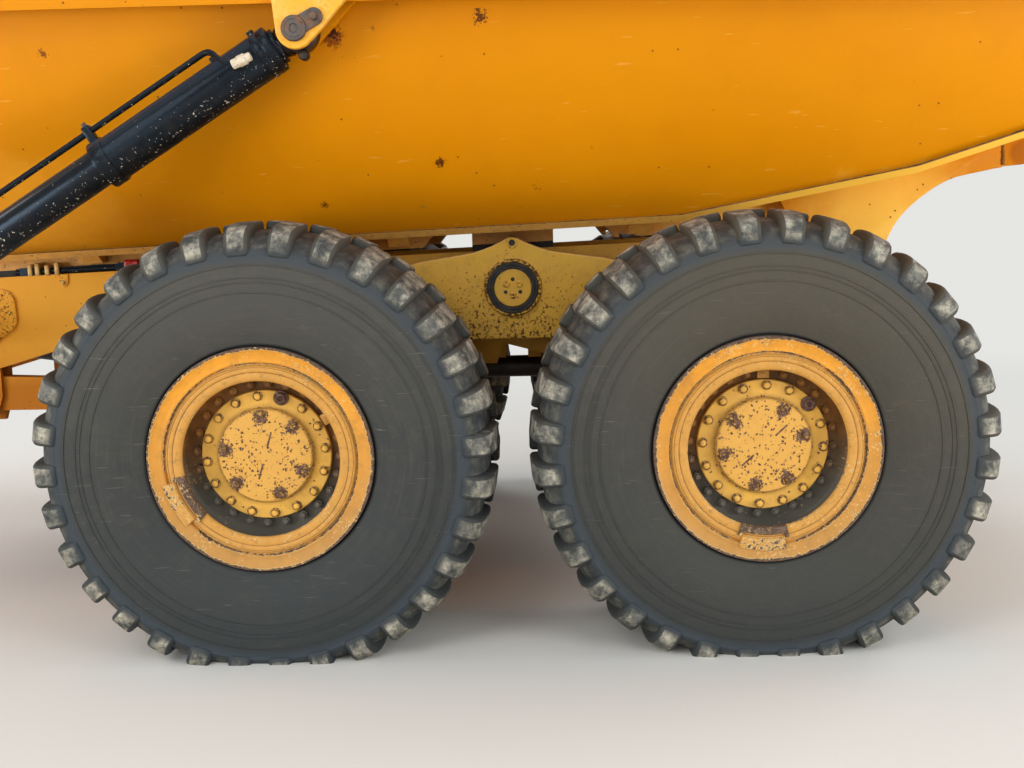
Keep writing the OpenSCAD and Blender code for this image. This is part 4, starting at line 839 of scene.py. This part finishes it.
tilt, closed, hoist_y = radians(31.5), 1.95, 1.21  # slope, length between pins, distance across
foot = Vector((pin_x - closed * cos(tilt), 0, pin_z - closed * sin(tilt)))
lie = Matrix.Rotation(pi / 2, 4, "Y")              # from round Z to along the cylinder
across = Matrix.Rotation(-pi / 2, 4, "X")


def rolled(outline, steps, matrix, material, width=0, angle=30):
    """Turns a piece and moves it in the cylinder's own frame, whose X runs from pin to pin."""
    piece = soften(lathe(outline, steps), width, angle=angle)
    piece.data.transform(matrix)
    return coat(piece, material)


def bent(points, bend, steps=6):
    """Rounds the corners of a line of points."""
    path = [Vector(points[0])]
    for a, b, c in zip(points, points[1:], points[2:]):
        a, b, c = Vector(a), Vector(b), Vector(c)
        start, end = b + (a - b).normalized() * bend, b + (c - b).normalized() * bend
        for i in range(steps + 1):
            t = i / steps
            path.append(start * (1 - t) ** 2 + b * 2 * t * (1 - t) + end * t ** 2)
    return path + [Vector(points[-1])]


shell = rolled([(50, 122), (61, 128), (65, 136), (65, 1126), (66.8, 1136), (83.5, 1140), (84.8, 1145),
    (84.8, 1185), (83.5, 1190), (79, 1191), (77.7, 1197), (77.7, 1794), (76.5, 1796), (76.5, 1800),
    (79.8, 1802), (80.6, 1806), (80.6, 1822), (79.2, 1824), (79.2, 1828), (80.6, 1830), (80.6, 1852),
    (79, 1857), (70, 1858), (69, 1855.5), (64, 1855.5), (63, 1860), (58, 1860.5), (54.8, 1859),
    (54.8, 1800)], 72, lie, black_enamel, angle=40)
base_eye = rolled([(34.5, -48), (70, -48), (76, -43), (76, 43), (70, 48), (34.5, 48), (34.5, -48)], 48,
    across, black_enamel)
neck = block((0.06, 0.128), (-0.047, 0.047), (-0.05, 0.05), 0.006)
oil_pipe = tube(bent([(0.3, 0, 0.06), (0.262, 0, 0.118), (1.662, 0, 0.118), (1.69, -0.06, 0.034)], 0.03),
    0.011, sides=4)
clamp = block((1.15, 1.18), (-0.017, 0.017), (0.07, 0.139), 0.004)
clamp_screw = lathe([(10.5, 138), (10.5, 142), (8.5, 142.5), (8.5, 152), (6, 153)], 6)
clamp_screw.data.transform(Matrix.Translation((1.165, 0, 0)))
boss = rolled([(20, 70), (20, 84), (17.5, 86)], 24, Matrix.Translation((1.75, 0, 0)) @ across.inverted(),
    black_enamel)
cap = rolled([(12, -36), (16.5, -34), (17, -14), (19.5, -12), (19.5, 14), (15.5, 16), (15, 32), (11, 34)],
    10, Matrix.Translation((1.75, -0.094, 0.006)) @ Matrix.Rotation(radians(8), 4, "Y") @ lie, cap_plastic,
    0.0008)
lugs = [block((x - 0.012, x + 0.012), (-0.014, 0.014), (0.07, 0.092), 0.003) for x in (1.66, 1.812)]
for piece in (neck, oil_pipe, clamp, *lugs):
    coat(piece, black_enamel)
barrel = join([shell, base_eye, neck, oil_pipe, clamp, coat(clamp_screw, pin_steel), boss, cap, *lugs])
stage = join([rolled([(53, 160), (54, 162), (54, 1866.5), (52.5, 1872), (42, 1873.5), (41, 1871.5),
    (35, 1871.5), (34.5, 1860)], 64, lie, hard_chrome), rolled([(50, 1860), (60, 1860.2), (61, 1863),
    (61, 1872), (59, 1875.5), (42, 1876), (40, 1874)], 64, lie, black_enamel)])
rod = join([rolled([(33, 186), (34, 188), (34, 1905)], 48, lie, hard_chrome),
    rolled([(34, -33), (62, -33), (69, -28), (69.5, 0), (69, 28), (62, 33), (34, 33)], 48,
    Matrix.Translation((closed, 0, 0)) @ across, oily_steel), rolled([(34.5, 1877.5), (48, 1878), (52, 1885),
    (56, 1900)], 48, lie, oily_steel)])
for side, hand in ((-1, "left"), (1, "right")):
    stand_at = Matrix.Translation(tandem + foot + Vector((0, side * hoist_y, 0))) @ Matrix.Rotation(-tilt, 4,
        "Y")
    flip = Matrix.Scale(-side, 4, Vector((0, 1, 0)))
    for piece, kind, slot in ((barrel, "barrel_", "black_paint"), (stage, "stage_", "rod_chrome"),
            (rod, "rod_", "rod_chrome")):
        hand_over(copy(piece, stand_at @ flip), kind + hand + "_seen", kind + hand, slot, kind + hand)
for piece in (barrel, stage, rod):
    bpy.data.objects.remove(piece)


# Walking beams.
# Welded box beams that carry both axles on each side, with a lifting eye on top and the pivot in
# the middle: a flame-cut ring, a black sealing ring and an end disc with three bolts.
# yellow enamel gone tan with dust, lighter on upward faces with dust and painted light, rusty along the cut
# edges
frame_enamel, shader, where = begin("dusty_frame_enamel")
facing = put("SeparateXYZ", {0: put("NewGeometry").outputs["Normal"]}).outputs[2]
along_x, _, height = put("SeparateXYZ", {0: where}).outputs
rusty = put("Attribute", attribute_name="rusty").outputs["Fac"]
ragged = put("TexNoise", {"Vector": where, "Scale": 80, "Detail": 5, "Roughness": 0.72})
edge_rust = put("MapRange", {0: put("Math", {0: rusty, 1: ragged}, operation="ADD"), 1: 0.98, 2: 1.02})
gone = put("Math", {0: stone_chips(where, 42, 0, 0.2, 0.13, 0.08), 1: edge_rust}, operation="MAXIMUM")
colour = weather("#E0AE44", where, ((0.3, 0.38, 0.7, 0.8, "#D2A650"), (0.06, 0.5, 0.75, 0.5, "#AE8844"),
    (0.02, 0.6, 0.78, 0.4, "#EABC60")))
# lighter on upward faces: dust and painted light; darker orange towards the bottom
colour = over(colour, ("#F8AC34", along_x, 2.9, 2.2, 0.75), ("#F6CA80", facing, 0.2, 0.8, 0.85),
    ("#A85E04", height, -0.02, -0.2, 0.85), ("#5C3C26", gone))
wire(shader, {"Base Color": colour, "Roughness": 0.64, "Specular IOR Level": 0.16,
    "Normal": rough(where, 38, 0.0008, 5, put("Bump", {"Height": gone, "Distance": -0.0007}))})
# soft black with grey dust in it
black_rubber = plain("moulded_rubber", "#17181A", ((0.05, 0.45, 0.7, 0.7, "#3E3B36"),), 100, 0.0006,
    {"Roughness": 0.7})

pivot_z, beam_face, eye_z = 1.224, 0.66, 1.398
half_beam = [(0, 1.023), (0.33, 1.023), (0.72, 0.908), (0.98, 0.908), (0.98, 1.11), (0.87, 1.195),
    (0.62, 1.268), (0.36, 1.33), (0.25, 1.3465), (0.15, 1.362), (0.095, 1.38), (0.058, 1.396),
    (0.034, 1.408), (0.02, 1.4165)]
beam = plate(half_beam + [(-x, z) for x, z in half_beam[:0:-1]], 0.52, beam_face, 0.005, 3)
edge_ring = soften(lathe([(100.5, 0), (113, 0), (112, 12), (109, 17), (103, 18.5), (100.5, 17), (100.5, 0)],
    72))
seal = soften(lathe([(74.5, 0), (99, 0), (99, 20), (96.5, 24.5), (90, 25), (88.5, 21.5), (85, 21.5),
    (83.5, 25), (77.5, 24.5), (74.5, 20), (74.5, 0)], 72))
disc = soften(lathe([(74, 0), (73.5, 14), (70, 16.5), (1, 16.8)], 64))
screws = around(lathe([(13.5, 16.5), (13, 21.5), (10.5, 24.5), (6, 24.5), (5, 21.5)], 12),
    [radians(a) for a in (30, 150, 270)], 0.029)
holes = around(lathe([(7, 16), (7.8, 17.2), (4, 17.4)], 16), [radians(a) for a in (90, 210, 330)], 0.033)
for piece, material in ((edge_ring, frame_enamel), (seal, black_rubber), (disc, frame_enamel),
        (screws, frame_enamel), (holes, black_rubber)):
    # turned on the left: angles run as they are seen from there
    coat(piece, material).data.transform(Matrix.Translation(tandem + Vector((0, beam_face, pivot_z)))
        @ Matrix.Rotation(pi / 2, 4, "X") @ Matrix.Scale(-1, 4, Vector((0, 0, 1))))
    piece.data.flip_normals()
eye_ring = soften(turned([(12.5, 0), (20, 0), (21.5, 2), (21.5, 4), (19, 5.5), (14, 5.5), (12.5, 4),
    (12.5, 0)], 32, 0, eye_z, beam_face))
eye_hole = turned([(12.5, 0), (13, 1.2), (6, 1.5)], 24, 0, eye_z, beam_face)


def beam_rust_at(co):
    """More rust on the face near the beam's lower edge, less on top."""
    on_face, low = co.y > 0.6565, co.z - tandem.z < 1.03
    return 0.46 if on_face and low else 0.33 if on_face or low else 0.2


for piece, rust in ((beam, beam_rust_at), (edge_ring, 0.5), (disc, 0.3), (screws, 0.46), (eye_ring, 0.4)):
    mark(piece, "rusty", rust)
beam = join([coat(beam, frame_enamel), coat(eye_ring, frame_enamel), coat(eye_hole, black_rubber)])
pivot_end = join([edge_ring, seal, disc, screws, holes])
for matrix, hand in ((mirror, "left"), (Matrix.Identity(4), "right")):
    hand_over(copy(beam, matrix), "walking_beam_" + hand + "_seen", "rear_frame", "frame_paint",
        "walking_beam_" + hand)
caps = join([copy(pivot_end, mirror), pivot_end])
hand_over(caps, "pivot_caps_seen", "rear_frame", "frame_paint", "pivot_caps")
bpy.data.objects.remove(beam)


# Frame fittings.
# What is bolted and welded to the left rail ahead of the wheels: the hoist mount's welded plate, the
# pipe's clips with their tan fittings, tabs with bolts, and a red marker lamp.
# tan zinc and dust on small fittings
zinc = plain("zinc_plated_fitting", "#C9A560", ((0.02, 0.42, 0.62, 1, "#A98648"),
    (0.007, 0.58, 0.7, 0.8, "#6A4A28")), 160, 0.0005, {"Metallic": 0.3, "Roughness": 0.5})
# deep red acrylic with moulded ribs
lamp_lens, shader, where = begin("acrylic_lens")
ribs = put("TexWave", {"Vector": where, "Scale": 60}, bands_direction="Y").outputs[1]
wire(shader, {"Base Color": over("#8C1410", ("#B8241C", ribs)), "Roughness": 0.2, "Transmission Weight": 0.1,
    "Normal": put("Bump", {"Height": ribs, "Distance": 0.0008})})


def rail_top_at(x):
    """Height of the rails' top."""
    return 1.369 + 0.031 * x


rail_face = -0.4995
mount_plate = plate([(-2.512, 0.953), (-2.512, 1.255)] + arc(-2.095, 1.195, 0.062, 90, 15, 8)
    + arc(-2.085, 1.135, 0.055, 0, -60, 8) + [(-2.245, 0.953)], -0.515, rail_face, 0.004, 3)
mark(mount_plate, "rusty", 0.42)
fittings = [coat(mount_plate, frame_enamel)]
for x, tall in ((-1.975, 0.046), (-1.945, 0.05), (-1.905, 0.04), (-1.865, 0.048)):
    top = tandem.z + rail_top_at(x)
    fittings.append(coat(block((tandem.x + x, tandem.x + x + 0.018), (-0.506, -0.456),
        (top - 0.002, top + tall), 0.003), zinc))
for x in (-1.83, -1.6):
    top = rail_top_at(x)
    tab = plate([(x - 0.02, top - 0.001), (x - 0.02, top - 0.03)] + arc(x, top - 0.035, 0.017, 200, 340, 6)
        + [(x + 0.02, top - 0.03), (x + 0.02, top - 0.001)], -0.5085, rail_face, 0.002)
    mark(tab, "rusty", 0.4)
    tab_bolt = lathe([(11, 0), (11, 3), (8.5, 3.5), (8.5, 10), (6, 11.5)], 6)
    tab_bolt.data.transform(Matrix.Translation(tandem + Vector((x, -0.508, top - 0.034)))
        @ Matrix.Rotation(pi / 2, 4, "X"))
    fittings += [coat(tab, frame_enamel), coat(tab_bolt, zinc)]
hand_over(join(fittings), "rail_fittings", "rear_frame", "frame_paint")
top = tandem.z + rail_top_at(-1.56)
marker = block((tandem.x - 1.585, tandem.x - 1.52), (-0.5, -0.455), (top + 0.002, top + 0.044), 0.009, 4)
hand_over(coat(marker, lamp_lens), "marker_lamp", "rear_frame", "lamp_plastic")


# Carried-over steelwork.
# The rest of frame, axles and body keeps its measured shape and gets its real finish.
# the floor's outer edge shows tan under worn enamel, and its top is scoured by the loads
strip_enamel, shader, where = begin("floor_edge_enamel")
facing = put("SeparateXYZ", {0: put("NewGeometry").outputs["Normal"]}).outputs[2]
rearward = put("SeparateXYZ", {0: where}).outputs[0]
scrape = scraped(where)
steel = over("#6F655C", ("#A19A90", scrape, 0.35, 0.65, 1))
colour = weather("#E8B058", where, ((0.05, 0.4, 0.66, 0.8, "#CE9A4E"), (0.012, 0.62, 0.66, 1, "#5C3E24")))
colour = over(colour, ("#FFC440", rearward, 3.9, 4.6, 0.95), (steel, facing, 0.55, 0.75, 1))
wire(shader, {"Base Color": colour, "Roughness": 0.6, "Normal": put("Bump",
    {"Height": scrape, "Distance": 0.0006})})

finishes = {
    body_enamel: ["body_front_wall", "spill_guard"],
    strip_enamel: ["body_floor", "body_bearers"],
    frame_enamel: ["hitch_housing", "rail_left", "rail_right", "crossmembers", "pivot_tube", "hoist_mounts",
                   "front_axle", "rear_axle", "drawbars", "sway_rods"],
    black_rubber: ["rest_pads", "rubber_springs"],
    oily_steel: ["front_driveshaft", "tandem_driveshaft"],
    black_enamel: ["frame_pipe"],
    lamp_lens: ["tail_lamps"]}
for material, nodes in finishes.items():
    for name in nodes:
        for place in cad[name].material_slots:
            place.material = material
        if not cad[name].material_slots:
            cad[name].data.materials.append(material)
